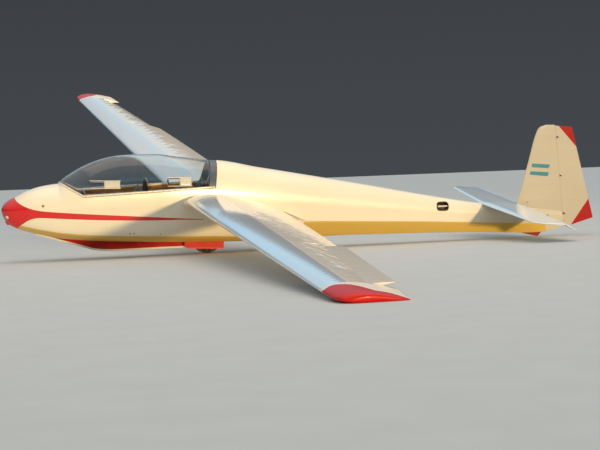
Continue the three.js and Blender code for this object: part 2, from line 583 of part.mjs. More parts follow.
function addWing(side, sign) {
  const stubStations = [150, FILLET.y, 275, 305, 345, 400, 470, 545, WING.root - SEAT_GAP];
  const stub = solid(loft(stubStations.map((y) => wingRing(sign * y)))).subtract(wholeBody);
  add(`root_fairing_${side}`, stub, materials.wingFabric);
  const trough = solid(loft([AILERON.from - END_GAP, AILERON.to + END_GAP].map((y) =>
    troughRing(aileronAxis(sign * y), aileronNose(y) + COVE_GAP, wingPlace))));
  const rodEnds = [AILERON.from - 40, AILERON.to + 40].map((y) => aileronAxis(sign * y));
  const rodBore = solid(rodGeometry(rodEnds[0], rodEnds[1], AILERON.rod + PIN_GAP, 12));
  const panelStations = [WING.root, 1500, 2600, 4000, 5800, WING.endRib - SEAT_GAP];
  const panel = solid(loft(panelStations.map((y) => wingRing(sign * y))));
  add(`wing_${side}`, panel.subtract(trough).subtract(rodBore), materials.wingFabric);
  const shortRod = [0.002, 0.998].map((share) => between(rodEnds[0], rodEnds[1], share));
  add(`aileron_hinge_rod_${side}`, rodGeometry(shortRod[0], shortRod[1], AILERON.rod, 12), materials.steel);
  const rings = [AILERON.from, AILERON.to].map((y) => {
    const centre = aileronAxis(sign * y);
    const trail = wingPoint(sign * y, 1, 0);
    return surfaceRing(centre, aileronNose(y), trail.x - centre.x, trail.z - centre.z, wingPlace);
  });
  const flap = add(`aileron_${side}`, solid(loft(rings)).subtract(rodBore), materials.wingFabric);
  const axis = new THREE.Vector3().subVectors(rodEnds[1], rodEnds[0]).normalize();
  turnAbout(flap, rodEnds[0], axis, AILERON.rest);
  // Blunt tip cap outboard of the end rib. Columns: share of the cap's width, share of the front cut back,
  // share of the thickness
  const capRows = [[0, 0, 1], [0.5, 0.01, 0.98], [0.78, 0.035, 0.93], [0.93, 0.09, 0.82], [1, 0.18, 0.62]];
  const width = HALF_SPAN - WING.endRib;
  const cap = loft(capRows.map(([out, front, thick]) =>
    wingRing(sign * (WING.endRib + out * width), { front, thick })));
  add(`wing_tip_${side}`, cap, materials.redPaint);
}

// Tailplane on the deck ahead of the fin, and the elevator behind it
const TAIL = {
  half: 1550, lead: [6352, 6500], leadZ: [575, 565], hingeX: 6930, hingeZ: 537, thick: [44, 26], rounding: 80,
  nose: [18, 11], elevator: [215, 172], inner: 112, rest: 30, tube: 10,
};

function tailRing(y) {
  const t = Math.abs(y) / TAIL.half;
  const round = Math.max(0, (Math.abs(y) - TAIL.half) / TAIL.rounding + 1) ** 2;
  const lead = mix(TAIL.lead, t) + TAIL.rounding * round;
  const nose = mix(TAIL.nose, t) * (1 - 0.4 * round);
  const chord = TAIL.hingeX - lead;
  const half = (mix(TAIL.thick, t) / 2) * (1 - 0.4 * round);
  // Columns: share of the distance to the hinge, share of the half thickness
  const outline = [[0, 0], [0.02, 0.42], [0.1, 0.78], [0.35, 1], [0.7, 0.96], [1, nose / half]];
  const upper = outline.map(([share, thick]) => [share, half * thick]);
  const lower = outline.slice(1).reverse().map(([share, thick]) => [share, -half * thick]);
  return [...upper, ...lower].map(([share, up]) =>
    new THREE.Vector3(lead + share * chord, y, mix([mix(TAIL.leadZ, t), TAIL.hingeZ], share) + up));
}

// The tailplane's outer shape, moved up or down
function tailLoft(lift) {
  const ends = [-1, -0.5, 0].map((step) => TAIL.half + step * TAIL.rounding);
  const stations = [...ends.map((y) => -y).reverse(), 0, ...ends];
  return solid(loft(stations.map((y) => tailRing(y).map((p) => p.add(new THREE.Vector3(0, 0, lift))))));
}

function addTail() {
  const hinge = (y) => ({ x: TAIL.hingeX, y, z: TAIL.hingeZ });
  const trough = solid(loft([-FAR, FAR].map((y) => troughRing(hinge(y), TAIL.nose[0] + COVE_GAP, wingPlace))));
  const line = [-TAIL.half + 20, TAIL.half - 20].map((y) => new THREE.Vector3(TAIL.hingeX, y, TAIL.hingeZ));
  const bore = solid(rodGeometry(line[0], line[1], TAIL.tube + PIN_GAP));
  let plane = tailLoft(0).subtract(trough);
  for (const y of [-78, 78]) {
    const bearing = solid(box(TAIL.hingeX - 40, TAIL.hingeX + 17, y - 7, y + 7, TAIL.hingeZ - 17, TAIL.hingeZ + 17));
    plane = plane.add(bearing);
  }
  add('tailplane', plane.subtract(bore).subtract(wholeBody), materials.wingFabric);
  const nose = (y) => mix(TAIL.nose, Math.abs(y) / TAIL.half);
  const tubeEnds = [0.002, 0.998].map((share) => between(line[0], line[1], share));
  add('elevator_torque_tube', rodGeometry(tubeEnds[0], tubeEnds[1], TAIL.tube), materials.steel);
  for (const [side, sign] of [['port', -1], ['starboard', 1]]) {
    const rings = [TAIL.inner, TAIL.half].map((y) =>
      surfaceRing(hinge(sign * y), nose(y), mix(TAIL.elevator, y / TAIL.half), 0, wingPlace));
    const flap = add(`elevator_${side}`, solid(loft(rings)).subtract(bore), materials.wingFabric);
    turnAbout(flap, line[0], new THREE.Vector3(0, 1, 0), TAIL.rest);
  }
}

// The rudder turns on a rod through lugs that stand out of the post into slots in its nose
const LUGS = { z: [420, 940, 1470], tall: 12, reach: 14, slot: 15, rod: 6 };
const postPoint = (z) => new THREE.Vector3(along(FIN.post, z), 0, z);
const rudderBore = [LUGS.z[0] - 40, LUGS.z[2] + 40].map(postPoint);

function rudderLug(z) {
  const x = along(FIN.post, z);
  return solid(box(x - 60, x + LUGS.reach, -8, 8, z - LUGS.tall / 2, z + LUGS.tall / 2));
}

function addFin() {
  const section = (x0, x1, half, z) => {
    // Columns: share of the chord to the post, share of the half thickness there
    const outline = [[0, 0], [0.03, 0.4], [0.15, 0.75], [0.45, 1], [1, 0.9]];
    const starboard = outline.map(([share, thick]) => [x0 + (x1 - x0) * share, half * thick]);
    const port = outline.slice(1).reverse().map(([share, thick]) => [x0 + (x1 - x0) * share, -half * thick]);
    return [...starboard, ...port].map(([x, y]) => new THREE.Vector3(x, y, z));
  };
  const levels = [[500, 6854], [604, 6880], [1100, 7006], [1552, 7120], [1600, 7160], [1629, 7240]];
  const rings = levels.map(([z, lead]) => section(lead, along(FIN.post, z), postNose(z) * 1.1, z));
  const tubeRoom = TAIL.nose[0] + COVE_GAP;
  const clearOfTube = solid(box(TAIL.hingeX - tubeRoom - 20, TAIL.hingeX + tubeRoom, -200, 200, 400,
    TAIL.hingeZ + tubeRoom));
  const fin = solid(loft(rings)).subtract(finTrough).subtract(wholeBody).subtract(clearOfTube)
    .subtract(tailLoft(SEAT_GAP))
    .add(rudderLug(LUGS.z[1])).add(rudderLug(LUGS.z[2]));
  const bore = solid(rodGeometry(rudderBore[0], rudderBore[1], LUGS.rod + PIN_GAP, 12));
  add('fin', fin.subtract(bore), materials.ivoryPaint);
  const rudderRings = [262, 1000, 1608].map((z) => {
    const foot = { x: along(FIN.post, z), z };
    return surfaceRing(foot, postNose(z), along(FIN.trail, z) - foot.x, 0, finPlace);
  });
  const sloped = [[7670, 259], [8020, 357.5], [8300, 436], [8300, 0], [7400, 0], [7400, 259]];
  const topCut = [[7300, 1622], [7640, 1598], [7640, 1700], [7300, 1700]];
  let rudder = solid(loft(rudderRings)).subtract(solid(sidePlate(sloped, -200, 200)))
    .subtract(solid(sidePlate(topCut, -200, 200)));
  for (const z of LUGS.z) {
    const x = along(FIN.post, z);
    rudder = rudder.subtract(solid(box(x - 200, x + LUGS.reach + 8, -200, 200, z - LUGS.slot, z + LUGS.slot)));
  }
  add('rudder', rudder.subtract(bore), materials.wingFabric);
  const rod = [0.001, 0.999].map((share) => between(rudderBore[0], rudderBore[1], share));
  add('rudder_hinge_rod', rodGeometry(rod[0], rod[1], LUGS.rod, 12), materials.steel);
}

// Landing skid under the nose with its canvas fairing, wheel fairing plates and tail skid
const SKID = { half: 50, thick: 25 };
const SHOE = 4;
const SKID_LINE = [[400, 296], [550, 257], [740, 199], [930, 145], [1070, 104], [1150, 82], [1290, 66],
  [1410, 62], [1600, 66], [1870, 73], [2060, 78], [2300, 81]].map(([x, low]) => ({ x, low }));

function addSkids() {
  const keel = (x) => smooth(STATIONS, 'keel', x);
  const skidTop = (x) => Math.min(smooth(SKID_LINE, 'low', x) + SKID.thick, keel(x) - SEAT_GAP * 2);
  const strip = (x, half, low, high) =>
    [[-half, low], [half, low], [half, high], [-half, high]].map(([y, z]) => new THREE.Vector3(x, y, z));
  const skidXs = SKID_LINE.map((row) => row.x);
  const skid = loft(skidXs.map((x) => strip(x, SKID.half, smooth(SKID_LINE, 'low', x), skidTop(x))));
  add('landing_skid', skid, materials.plywood);
  const fairingXs = [610, 740, 930, 1070, 1290, 1600, 2060, 2290];
  const fairing = loft(fairingXs.map((x) => strip(x, 42, skidTop(x) + SEAT_GAP, keel(x) + 20)));
  add('skid_fairing', solid(fairing).subtract(wholeBody), materials.redPaint);
  const plate = [[2305, 100], [2340, 76], [2818, 62], [2818, 200], [2305, 200]];
  for (const [side, sign] of [['port', -1], ['starboard', 1]]) {
    const across = [WELL.half + 8, WELL.half + 14].map((y) => sign * y);
    const cheek = solid(sidePlate(plate, across[0], across[1])).subtract(wholeBody);
    add(`wheel_fairing_${side}`, cheek, materials.redPaint);
  }
  // The tail skid's wedge stands on a steel shoe that follows its sloping underside
  const [wedgeFoot, wedgeHeel] = [[6935, 170], [7188, 114]];
  const wedge = [[wedgeFoot[0], 240], wedgeFoot, wedgeHeel, [7240, 172], [7240, 240]];
  add('tail_skid', solid(sidePlate(wedge, -28, 28)).subtract(wholeBody), materials.redPaint);
  const slope = (wedgeHeel[1] - wedgeFoot[1]) / (wedgeHeel[0] - wedgeFoot[0]);
  const underside = (x) => wedgeFoot[1] + (x - wedgeFoot[0]) * slope;
  const shoeLine = [6990, wedgeHeel[0]].map((x) => [x, underside(x) - SEAT_GAP - 0.02]);
  const shoe = [...shoeLine, ...shoeLine.map(([x, z]) => [x - 1, z - SHOE]).reverse()];
  add('tail_skid_shoe', sidePlate(shoe, -28, 28), materials.steel);
  const hook = [[40, 560], [46, 452], [64, 424], [96, 420], [108, 436], [100, 560]];
  add('tow_release', solid(sidePlate(hook, -11, 11)).subtract(wholeBody), materials.redPaint);
}

addFuselage();
addCockpit();
addCanopy();
addWing('port', -1);
addWing('starboard', 1);
addTail();
addFin();
addSkids();
addWheel();

// Parking: the airframe rests on its tyre, its tail-skid shoe and its port wing tip. Each turn of the loop
// finds those three pieces' lowest points, then lays the plane through them level.
const restingPieces = ['main_tyre', 'tail_skid_shoe', 'wing_tip_port'];

function lowestPoint(mesh) {
  const positions = mesh.geometry.getAttribute('position');
  const lowest = new THREE.Vector3(0, 0, Infinity);
  const point = new THREE.Vector3();
  for (let i = 0; i < positions.count; i += 1) {
    point.fromBufferAttribute(positions, i).applyMatrix4(mesh.matrixWorld);
    if (point.z < lowest.z) lowest.copy(point);
  }
  return lowest;
}

for (let i = 0; i < 8; i += 1) {
  airframe.updateMatrixWorld(true);
  const [tyre, shoe, tip] = restingPieces.map((name) => lowestPoint(airframe.getObjectByName(name)));
  const normal = new THREE.Vector3().crossVectors(shoe.clone().sub(tyre), tip.clone().sub(tyre));
  if (normal.z < 0) normal.negate();
  const turn = new THREE.Quaternion().setFromUnitVectors(normal.normalize(), new THREE.Vector3(0, 0, 1));
  airframe.quaternion.premultiply(turn);
}

// The origin is the middle of the base of the box round the parked sailplane
airframe.updateMatrixWorld(true);
const extent = new THREE.Box3().setFromObject(airframe, true);
const centre = extent.getCenter(new THREE.Vector3());
airframe.position.set(-centre.x, -centre.y, -extent.min.z);

const sailplane = new THREE.Group();
sailplane.add(airframe);

export default sailplane;
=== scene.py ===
import json
import bmesh
import bpy
import numpy as np
from mathutils import Matrix, Vector


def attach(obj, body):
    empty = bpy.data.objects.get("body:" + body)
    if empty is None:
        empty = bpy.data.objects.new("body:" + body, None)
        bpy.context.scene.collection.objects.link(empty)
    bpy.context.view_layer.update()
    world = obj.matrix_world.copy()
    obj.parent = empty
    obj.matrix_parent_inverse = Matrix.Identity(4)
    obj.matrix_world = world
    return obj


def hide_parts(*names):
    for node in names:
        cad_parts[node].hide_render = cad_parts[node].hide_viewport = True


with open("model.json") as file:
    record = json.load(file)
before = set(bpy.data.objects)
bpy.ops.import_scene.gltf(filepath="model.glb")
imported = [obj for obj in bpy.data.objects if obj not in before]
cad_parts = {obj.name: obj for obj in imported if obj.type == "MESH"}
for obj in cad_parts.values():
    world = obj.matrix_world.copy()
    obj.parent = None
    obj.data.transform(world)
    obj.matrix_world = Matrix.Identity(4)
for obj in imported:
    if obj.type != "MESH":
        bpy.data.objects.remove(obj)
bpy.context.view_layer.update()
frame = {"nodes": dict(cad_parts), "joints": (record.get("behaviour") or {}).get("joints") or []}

# How it stands. The airframe is lofted level, as on its rigging trestles: x aft from the nose, y to starboard and
# z up from the tyre's foot, in metres. Parked, it leans on its port tip, which the wheel's axle and the rudder
# post show.
joints = {joint["name"]: joint for joint in frame["joints"]}
axle = np.array(joints["wheel_spin"]["pos_m"])
starboard = np.array(joints["wheel_spin"]["axis"])
post = np.array(joints["rudder_hinge"]["axis"])
POST_RUN, POST_RISE = -0.190, 1.359  # the level post leans forward as it rises
post_lean = np.array([POST_RUN, POST_RISE]) / np.hypot(POST_RUN, POST_RISE)
across = np.cross(starboard, post) / np.linalg.norm(np.cross(starboard, post))
post = np.cross(across, starboard)
aft = post_lean[0] * post + post_lean[1] * across
up = post_lean[1] * post - post_lean[0] * across


LEVEL_AXLE = (2.61, 0, 0.2)


def parked(level):
    """Carries level points (..., 3) to the parked sailplane: axle + (x - 2.61) aft + y starboard + (z - 0.2) up."""
    level = np.asarray(level, float)
    return axle + (level - LEVEL_AXLE) @ np.array([aft, starboard, up])


# The photograph's view: a long lens a little above the canopy rail, from the port side ahead of the wing, with the
# nose at the left edge of the frame. The picture is 600 by 450 and shows the whole sailplane.
VIEW = {"lens": 99.45, "eye": (-1.6406, -20.6359, 4.0407), "at": (3.8513, 0, 0.3363),
        "up": (0.02216, 0.17093, 0.98503)}
camera_data = bpy.data.cameras.new("camera")
camera_data.sensor_width = 36
camera_data.lens = VIEW["lens"]
camera_data.clip_end = 500
camera = bpy.data.objects.new("camera", camera_data)
bpy.context.scene.collection.objects.link(camera)
eye = parked(VIEW["eye"])
look = parked(VIEW["at"]) - eye
look /= np.linalg.norm(look)
head = parked(VIEW["up"]) - parked((0, 0, 0))
right = np.cross(look, head)
right /= np.linalg.norm(right)
head = np.cross(right, look)
camera.matrix_world = Matrix((*[(*row, place) for row, place in zip(np.array([right, head, -look]).T, eye)],
                              (0, 0, 0, 1)))
bpy.context.scene.camera = camera

# The floor and the light. A pale studio floor stands in for the ground, a soft sky that is grey at the horizon and
# blue overhead lights the upper surfaces, and a warm lamp stands low to port, where the evening sun is in the
# photograph: the edges of its shadows on the fuselage give its direction.
SUN_AT, SOFTBOX_AT, MIDSHIPS = (12.05, -33.43, 6.62), (3.6, 0, 16), (3.6, 0, 0.6)
FLOOR_SIDE, FLOOR_DROP = 160, 0.001


def linear(code):
    """A paint chart's sRGB hex value as linear red, green, blue and 1: c / 12.92 when dark, else ((c + 0.055) /
    1.055) ^ 2.4."""
    c = np.array([int(code[i:i + 2], 16) for i in (1, 3, 5)]) / 255
    return (*np.where(c <= 0.04045, c / 12.92, ((c + 0.055) / 1.055) ** 2.4), 1.0)


def lamp(name, kind, at, strength, colour, **shape):
    """A lamp at a level point that faces the middle of the fuselage."""
    data = bpy.data.lights.new(name, kind)
    data.energy, data.color = strength, linear(colour)[:3]
    for key, value in shape.items():
        setattr(data, key, value)
    thing = bpy.data.objects.new(name, data)
    bpy.context.scene.collection.objects.link(thing)
    place = Vector(parked(at))
    way = Vector(parked(MIDSHIPS)) - place
    thing.matrix_world = Matrix.Translation(place) @ way.to_track_quat("-Z", "Y").to_matrix().to_4x4()


lamp("evening_sun", "SUN", SUN_AT, 2.4, "#ffe0a6", angle=np.radians(2.5))
lamp("overhead_softbox", "AREA", SOFTBOX_AT, 620, "#ffead4", shape="SQUARE", size=16)


def node(tree, kind, links=None, **settings):
    """Adds a node to a material. Settings are its own, and links gives each input a value or another node's
    output."""
    added = tree.nodes.new(kind)
    for name, value in settings.items():
        setattr(added, name, value)
    for name, value in (links or {}).items():
        if isinstance(value, bpy.types.NodeSocket):
            tree.links.new(value, added.inputs[name])
        else:
            added.inputs[name].default_value = value
    return added


def new_finish(name, **shader):
    """An empty finish: its node tree, and its shader with the sockets that are the same all over."""
    finish = bpy.data.materials.new(name)
    finish.use_nodes = True
    tree = finish.node_tree
    main = tree.nodes["Principled BSDF"]
    for socket, value in shader.items():
        main.inputs[socket.replace("_", " ")].default_value = value
    return finish, tree, main


def drawn(tree, at, kind, **values):
    """A pattern's value at each place, from its kind, its inputs, which begin with a capital, and its settings."""
    inputs = {key: value for key, value in values.items() if key[0].isupper()}
    settings = {key: value for key, value in values.items() if key not in inputs}
    pattern = node(tree, f"ShaderNodeTex{kind}", {"Vector": at, **inputs}, **settings)
    return pattern.outputs["Distance" if kind == "Voronoi" else "Fac"]


def between(tree, share, first, second):
    """The colour a share of the way from one colour to another. Each is a chart's hex value, or comes from a node."""
    first, second = (linear(colour) if isinstance(colour, str) else colour for colour in (first, second))
    return node(tree, "ShaderNodeMix", {"Factor": share, "A": first, "B": second}, data_type="RGBA").outputs["Result"]


def ranged(tree, value, **ends):
    """A value carried from one range onto another."""
    ends = {key.replace("_", " "): end for key, end in ends.items()}
    return node(tree, "ShaderNodeMapRange", {"Value": value, **ends}).outputs["Result"]


def raised(tree, main, *reliefs):
    """Lays reliefs (height, strength, depth in metres) one over another and gives the last to the shader."""
    below = {}
    for height, strength, depth in reliefs:
        relief = node(tree, "ShaderNodeBump", {"Height": height, "Strength": strength, "Distance": depth, **below})
        below = {"Normal": relief.outputs["Normal"]}
    tree.links.new(below["Normal"], main.inputs["Normal"])


def two_tone(name, tints, pattern, relief=None, rough=None, stretch=None, window=None, **shader):
    """A finish that runs between two tints as a pattern does, which may be stretched, and cut to a window of its
    values. A relief is (strength, depth in metres), and its own pattern where it has one. Rough is the roughness at
    the pattern's two ends."""
    finish, tree, main = new_finish(name, **shader)
    here = node(tree, "ShaderNodeTexCoord").outputs["Object"]
    if stretch:
        here = node(tree, "ShaderNodeMapping", {"Vector": here, "Scale": stretch}).outputs["Vector"]
    value = drawn(tree, here, **pattern)
    share = ranged(tree, value, From_Min=window[0], From_Max=window[1]) if window else value
    tree.links.new(between(tree, share, *tints), main.inputs["Base Color"])
    if relief:
        strength, depth, *own = relief
        raised(tree, main, (drawn(tree, here, **own[0]) if own else value, strength, depth))
    if rough:
        tree.links.new(ranged(tree, value, To_Min=rough[0], To_Max=rough[1]), main.inputs["Roughness"])
    return finish


sky = bpy.data.worlds.new("sky")
bpy.context.scene.world = sky
sky.use_nodes = True
tree = sky.node_tree
way = node(tree, "ShaderNodeSeparateXYZ", {"Vector": node(tree, "ShaderNodeTexCoord").outputs["Generated"]})
shade = node(tree, "ShaderNodeValToRGB", {"Fac": way.outputs["Z"]})
SKY_TINTS = ((0.0, "#44484c"), (0.268, "#303438"), (0.282, "#9cdcfc"), (0.34, "#a4d4ee"), (0.42, "#a3b2bc"),
             (1.0, "#9aa6b0"))
for place, colour in SKY_TINTS:  # by the height of the view's direction, from level to straight up
    stop = shade.color_ramp.elements.new(place)
    stop.color = linear(colour)
shade.color_ramp.elements.remove(shade.color_ramp.elements[0])
shade.color_ramp.elements.remove(shade.color_ramp.elements[-1])
tree.links.new(shade.outputs["Color"], tree.nodes["Background"].inputs["Color"])
bpy.context.scene.view_settings.view_transform = "Standard"

# Poured concrete, floated smooth: a very faint mottle 400 mm across, and fine pores.
floor_finish, tree, main = new_finish("floated_concrete", Roughness=0.75)
here = node(tree, "ShaderNodeTexCoord").outputs["Object"]
shade = node(tree, "ShaderNodeValToRGB", {"Fac": drawn(tree, here, "Noise", Scale=2.5, Detail=4.0)})
shade.color_ramp.elements[0].color = linear("#c9c6bf")
shade.color_ramp.elements[1].color = linear("#d3d1cb")
tree.links.new(shade.outputs["Color"], main.inputs["Base Color"])
raised(tree, main, (drawn(tree, here, "Noise", Scale=90.0, Detail=2.0), 0.15, 0.002))
bpy.ops.mesh.primitive_plane_add(size=FLOOR_SIDE, location=(0, 0, -FLOOR_DROP))
floor = bpy.context.object
floor.name = "studio_floor"
floor.data.materials.append(floor_finish)


# Fuselage skin. A welded steel-tube frame under doped fabric, with moulded shells for the nose and the cockpit
# tub, all sprayed the same ivory gloss, with a red nose that runs back into a stripe and a golden belly.
STATION = np.array([
    # x, keel, its half width, lower chine, its half width, upper chine, its half width, shoulder, half width, top
    (0.000, 0.575, 0.008, 0.585, 0.014, 0.597, 0.022, 0.605, 0.026, 0.622),
    (0.030, 0.505, 0.024, 0.525, 0.050, 0.560, 0.074, 0.600, 0.082, 0.680),
    (0.080, 0.440, 0.040, 0.475, 0.088, 0.535, 0.118, 0.600, 0.126, 0.724),
    (0.170, 0.388, 0.058, 0.442, 0.130, 0.520, 0.160, 0.602, 0.168, 0.773),
    (0.300, 0.343, 0.078, 0.415, 0.175, 0.505, 0.204, 0.605, 0.210, 0.841),
    (0.500, 0.298, 0.094, 0.376, 0.218, 0.490, 0.242, 0.610, 0.247, 0.903),
    (0.720, 0.250, 0.100, 0.340, 0.246, 0.480, 0.268, 0.625, 0.272, 0.936),
    (1.100, 0.211, 0.100, 0.305, 0.264, 0.470, 0.294, 0.650, 0.300, 1.010),
    (1.600, 0.186, 0.100, 0.284, 0.265, 0.465, 0.300, 0.670, 0.306, 1.080),
    (2.100, 0.169, 0.100, 0.267, 0.258, 0.455, 0.298, 0.685, 0.306, 1.150),
    (2.660, 0.158, 0.100, 0.254, 0.240, 0.430, 0.290, 0.690, 0.300, 1.207),
    (3.300, 0.156, 0.088, 0.222, 0.165, 0.398, 0.270, 0.680, 0.284, 1.104),
    (3.900, 0.192, 0.076, 0.208, 0.100, 0.413, 0.246, 0.645, 0.256, 1.003),
    (4.700, 0.202, 0.060, 0.206, 0.072, 0.391, 0.198, 0.575, 0.206, 0.864),
    (5.600, 0.202, 0.048, 0.206, 0.056, 0.359, 0.146, 0.500, 0.152, 0.700),
    (6.400, 0.187, 0.040, 0.191, 0.046, 0.321, 0.101, 0.440, 0.106, 0.576),
    (7.000, 0.168, 0.034, 0.171, 0.038, 0.291, 0.066, 0.410, 0.070, 0.524),
    (7.265, 0.173, 0.029, 0.176, 0.032, 0.300, 0.050, 0.405, 0.053, 0.497),
    (7.458, 0.217, 0.026, 0.220, 0.028, 0.315, 0.038, 0.402, 0.041, 0.479),
    (7.570, 0.256, 0.024, 0.259, 0.026, 0.330, 0.032, 0.400, 0.034, 0.470),
])
# The canopy's crown line, and the cockpit's sill in side view: down to a kink, then up along one long straight
CROWN = np.array([
    (0.700, 0.938), (0.730, 0.965), (0.780, 1.009), (0.890, 1.079), (0.980, 1.132), (1.080, 1.179), (1.270, 1.245),
    (1.470, 1.281), (1.700, 1.292), (1.950, 1.291), (2.150, 1.266), (2.400, 1.238), (2.670, 1.203),
])
SILL = np.array([(0.690, 0.944), (0.722, 0.931), (0.762, 0.919), (0.986, 0.795), (2.664, 0.886)])
HOOP_LEAN = 0.145
KEEL_LINES = (0.0, 0.3143, 0.6286, 0.9429)  # shares of the keel flat, the last of them at the wheel well's side


def fair(rows, x):
    """A fair line through a table's rows that never overshoots them: a cubic between two rows, whose slope at a row
    is the harmonic mean of its neighbours' slopes, or level where they change sign."""
    at, values = rows[:, 0], rows[:, 1:]
    rise = np.diff(values, axis=0) / np.diff(at)[:, None]
    both = rise[:-1] * rise[1:]
    mean = np.where(both > 0, 2 * both / np.where(both > 0, rise[:-1] + rise[1:], 1), 0)
    slope = np.concatenate([rise[:1], mean, rise[-1:]])
    x = np.clip(x, at[0], at[-1])
    i = np.clip(np.searchsorted(at, x) - 1, 0, len(at) - 2)
    width = (at[i + 1] - at[i])[:, None]
    t = (x - at[i])[:, None] / width
    start = values[i] * (1 + 2 * t) * (1 - t) ** 2 + values[i + 1] * t * t * (3 - 2 * t)
    return start + width * (slope[i] * t * (1 - t) ** 2 - slope[i + 1] * t * t * (1 - t))


def grid(*coordinates):
    """Points whose coordinates are spread over one grid."""
    return np.stack(np.broadcast_arrays(*coordinates), -1)


def hull_top(x):
    """Height of the deck, or of the canopy's crown where the cockpit is."""
    deck, crown = fair(STATION, x)[:, 8], fair(CROWN, x)[:, 0]
    return np.where((x > 0.700) & (x < 2.672), crown, deck)


def hull_half(x, cut, inset=0.0, round_share=0.3):
    """Half rings (n, m, 2) of y and z, from the keel up to the height cut. Straight lines join the chines, each
    corner is a parabola between points round_share of the shorter line away, and a quarter ellipse rises from the
    shoulder to the top."""
    keel, keel_half, low, low_half, high, high_half, shoulder, half, _ = fair(STATION, x).T
    keel_half, low_half, high_half, half = (np.maximum(w - inset, 0.002)
                                            for w in (keel_half, low_half, high_half, half))
    corner = np.array([(0 * keel, keel + inset), (keel_half, keel + inset), (low_half, low + inset * 0.5),
                       (high_half, high), (half, shoulder)]).transpose(2, 0, 1)
    line = np.diff(corner, axis=1)
    length = np.linalg.norm(line, axis=2)
    reach = np.minimum(length[:, :-1], length[:, 1:]) * np.reshape(round_share, (-1, 1))
    reach[:, 0] = np.minimum(reach[:, 0], 0.3 * keel_half)
    way = line / length[:, :, None]
    before = corner[:, 1:-1] - way[:, :-1] * reach[:, :, None]
    after = corner[:, 1:-1] + way[:, 1:] * reach[:, :, None]
    starts = np.concatenate([corner[:, :1], after], 1)
    ends = np.concatenate([before, corner[:, -1:]], 1)
    parts = []
    for k, t in enumerate((KEEL_LINES, np.arange(8) / 8, np.arange(10) / 10, np.arange(10) / 10)):
        t = np.asarray(t)[None, :, None]
        parts.append(starts[:, k:k + 1] * (1 - t) + ends[:, k:k + 1] * t)
        if k < 3:
            t = np.linspace(0, 1, 6, endpoint=False)[None, :, None]
            parts.append(before[:, k:k + 1] * (1 - t) ** 2 + 2 * corner[:, k + 1:k + 2] * t * (1 - t)
                         + after[:, k:k + 1] * t ** 2)
    top = hull_top(x) - inset
    full = np.arcsin(np.clip((cut - shoulder) / np.maximum(top - shoulder, 1e-4), 0, 1))
    turn = full[:, None] * np.linspace(0, 1, 40)
    arc = np.stack([half[:, None] * np.cos(turn), shoulder[:, None] + (top - shoulder)[:, None] * np.sin(turn)], 2)
    return np.concatenate([*parts, arc], 1)


def whole_rings(x, halves):
    """Level rings (n, 2m - 1, 3) from port top edge, under the keel, to starboard top edge."""
    port = halves[:, :0:-1] * (-1, 1)
    ring = np.concatenate([port, halves], 1)
    return np.concatenate([np.broadcast_to(x[:, None, None], (*ring.shape[:2], 1)), ring], 2)


def piece(name, parts, finish, body, hides=(), marks=None, merge=2e-5, wall=None, crease=42):
    """Makes one object of grids of level points. A part is (points (r, c, 3), close the columns, caps). A cap fans
    the first or last row to its middle, and a fourth entry tells which cells (r - 1, c - 1) are left open. Marks are
    named values (r, c) for each part, kept on the vertices for the finish. Edges sharper than the crease angle stay
    hard."""
    mesh = bpy.data.meshes.new(name)
    verts, faces, kept, start = [], [], {key: [] for key in (marks or {})}, 0
    for k, (points, closed, caps, *gaps) in enumerate(parts):
        rows, columns = points.shape[:2]
        verts.append(parked(points).reshape(-1, 3))
        cell = np.arange(rows * columns).reshape(rows, columns) + start
        beside = np.roll(cell, -1, axis=1) if closed else cell[:, 1:]
        here = cell if closed else cell[:, :-1]
        cells = np.stack([here[:-1], beside[:-1], beside[1:], here[1:]], 2)
        faces.append(cells[~gaps[0]] if gaps else cells.reshape(-1, 4))
        for key in kept:
            kept[key].append(np.asarray(marks[key][k], float).reshape(-1))
        start += rows * columns
        for end in caps:
            rim = cell[end]
            middle = points[end].mean(0)
            verts.append(parked(middle)[None])
            ring = np.stack([rim, np.roll(rim, -1), np.full(columns, start), np.full(columns, start)], 1)
            faces.append(ring[:, ::-1] if end == 0 else ring)
            for key in kept:
                kept[key].append([np.asarray(marks[key][k], float)[end].mean()])
            start += 1
    quads = np.concatenate(faces)
    fans = quads[:, 2] == quads[:, 3]
    backward = quads[:, 0] == quads[:, 1]
    polygons = [q[:3] for q in quads[fans].tolist()] + [q[1:] for q in quads[backward].tolist()]
    polygons += quads[~fans & ~backward].tolist()
    mesh.from_pydata(np.concatenate(verts).tolist(), [], polygons)
    for key, values in kept.items():
        mesh.attributes.new(key, "FLOAT",
                            "POINT").data.foreach_set("value", np.concatenate(values).astype(np.float32))
    shape = bmesh.new()
    shape.from_mesh(mesh)
    bmesh.ops.remove_doubles(shape, verts=shape.verts, dist=merge)
    bmesh.ops.recalc_face_normals(shape, faces=shape.faces)
    shape.to_mesh(mesh)
    shape.free()
    mesh.shade_smooth()
    mesh.set_sharp_from_angle(angle=np.radians(crease))
    thing = bpy.data.objects.new(name, mesh)
    bpy.context.scene.collection.objects.link(thing)
    mesh.materials.append(finish)
    if wall:
        thick = thing.modifiers.new("wall", "SOLIDIFY")
        thick.thickness, thick.offset = wall, -1
    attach(thing, body)
    if hides:
        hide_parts(*hides)
    return thing


# The skin's own shape and paint follow. The cockpit is cut out down to the sill, and the deck behind it starts at
# the canopy's rear hoop.
def skin_edge(x):
    """Height that the skin reaches: the deck, or in the cockpit the sill, and then the leaning edge behind the
    canopy."""
    leaning = SILL[-1, 1] + (x - SILL[-1, 0]) / HOOP_LEAN
    return np.minimum(hull_top(x), np.where(x < SILL[-1, 0], np.interp(x, SILL[:, 0], SILL[:, 1]), leaning))


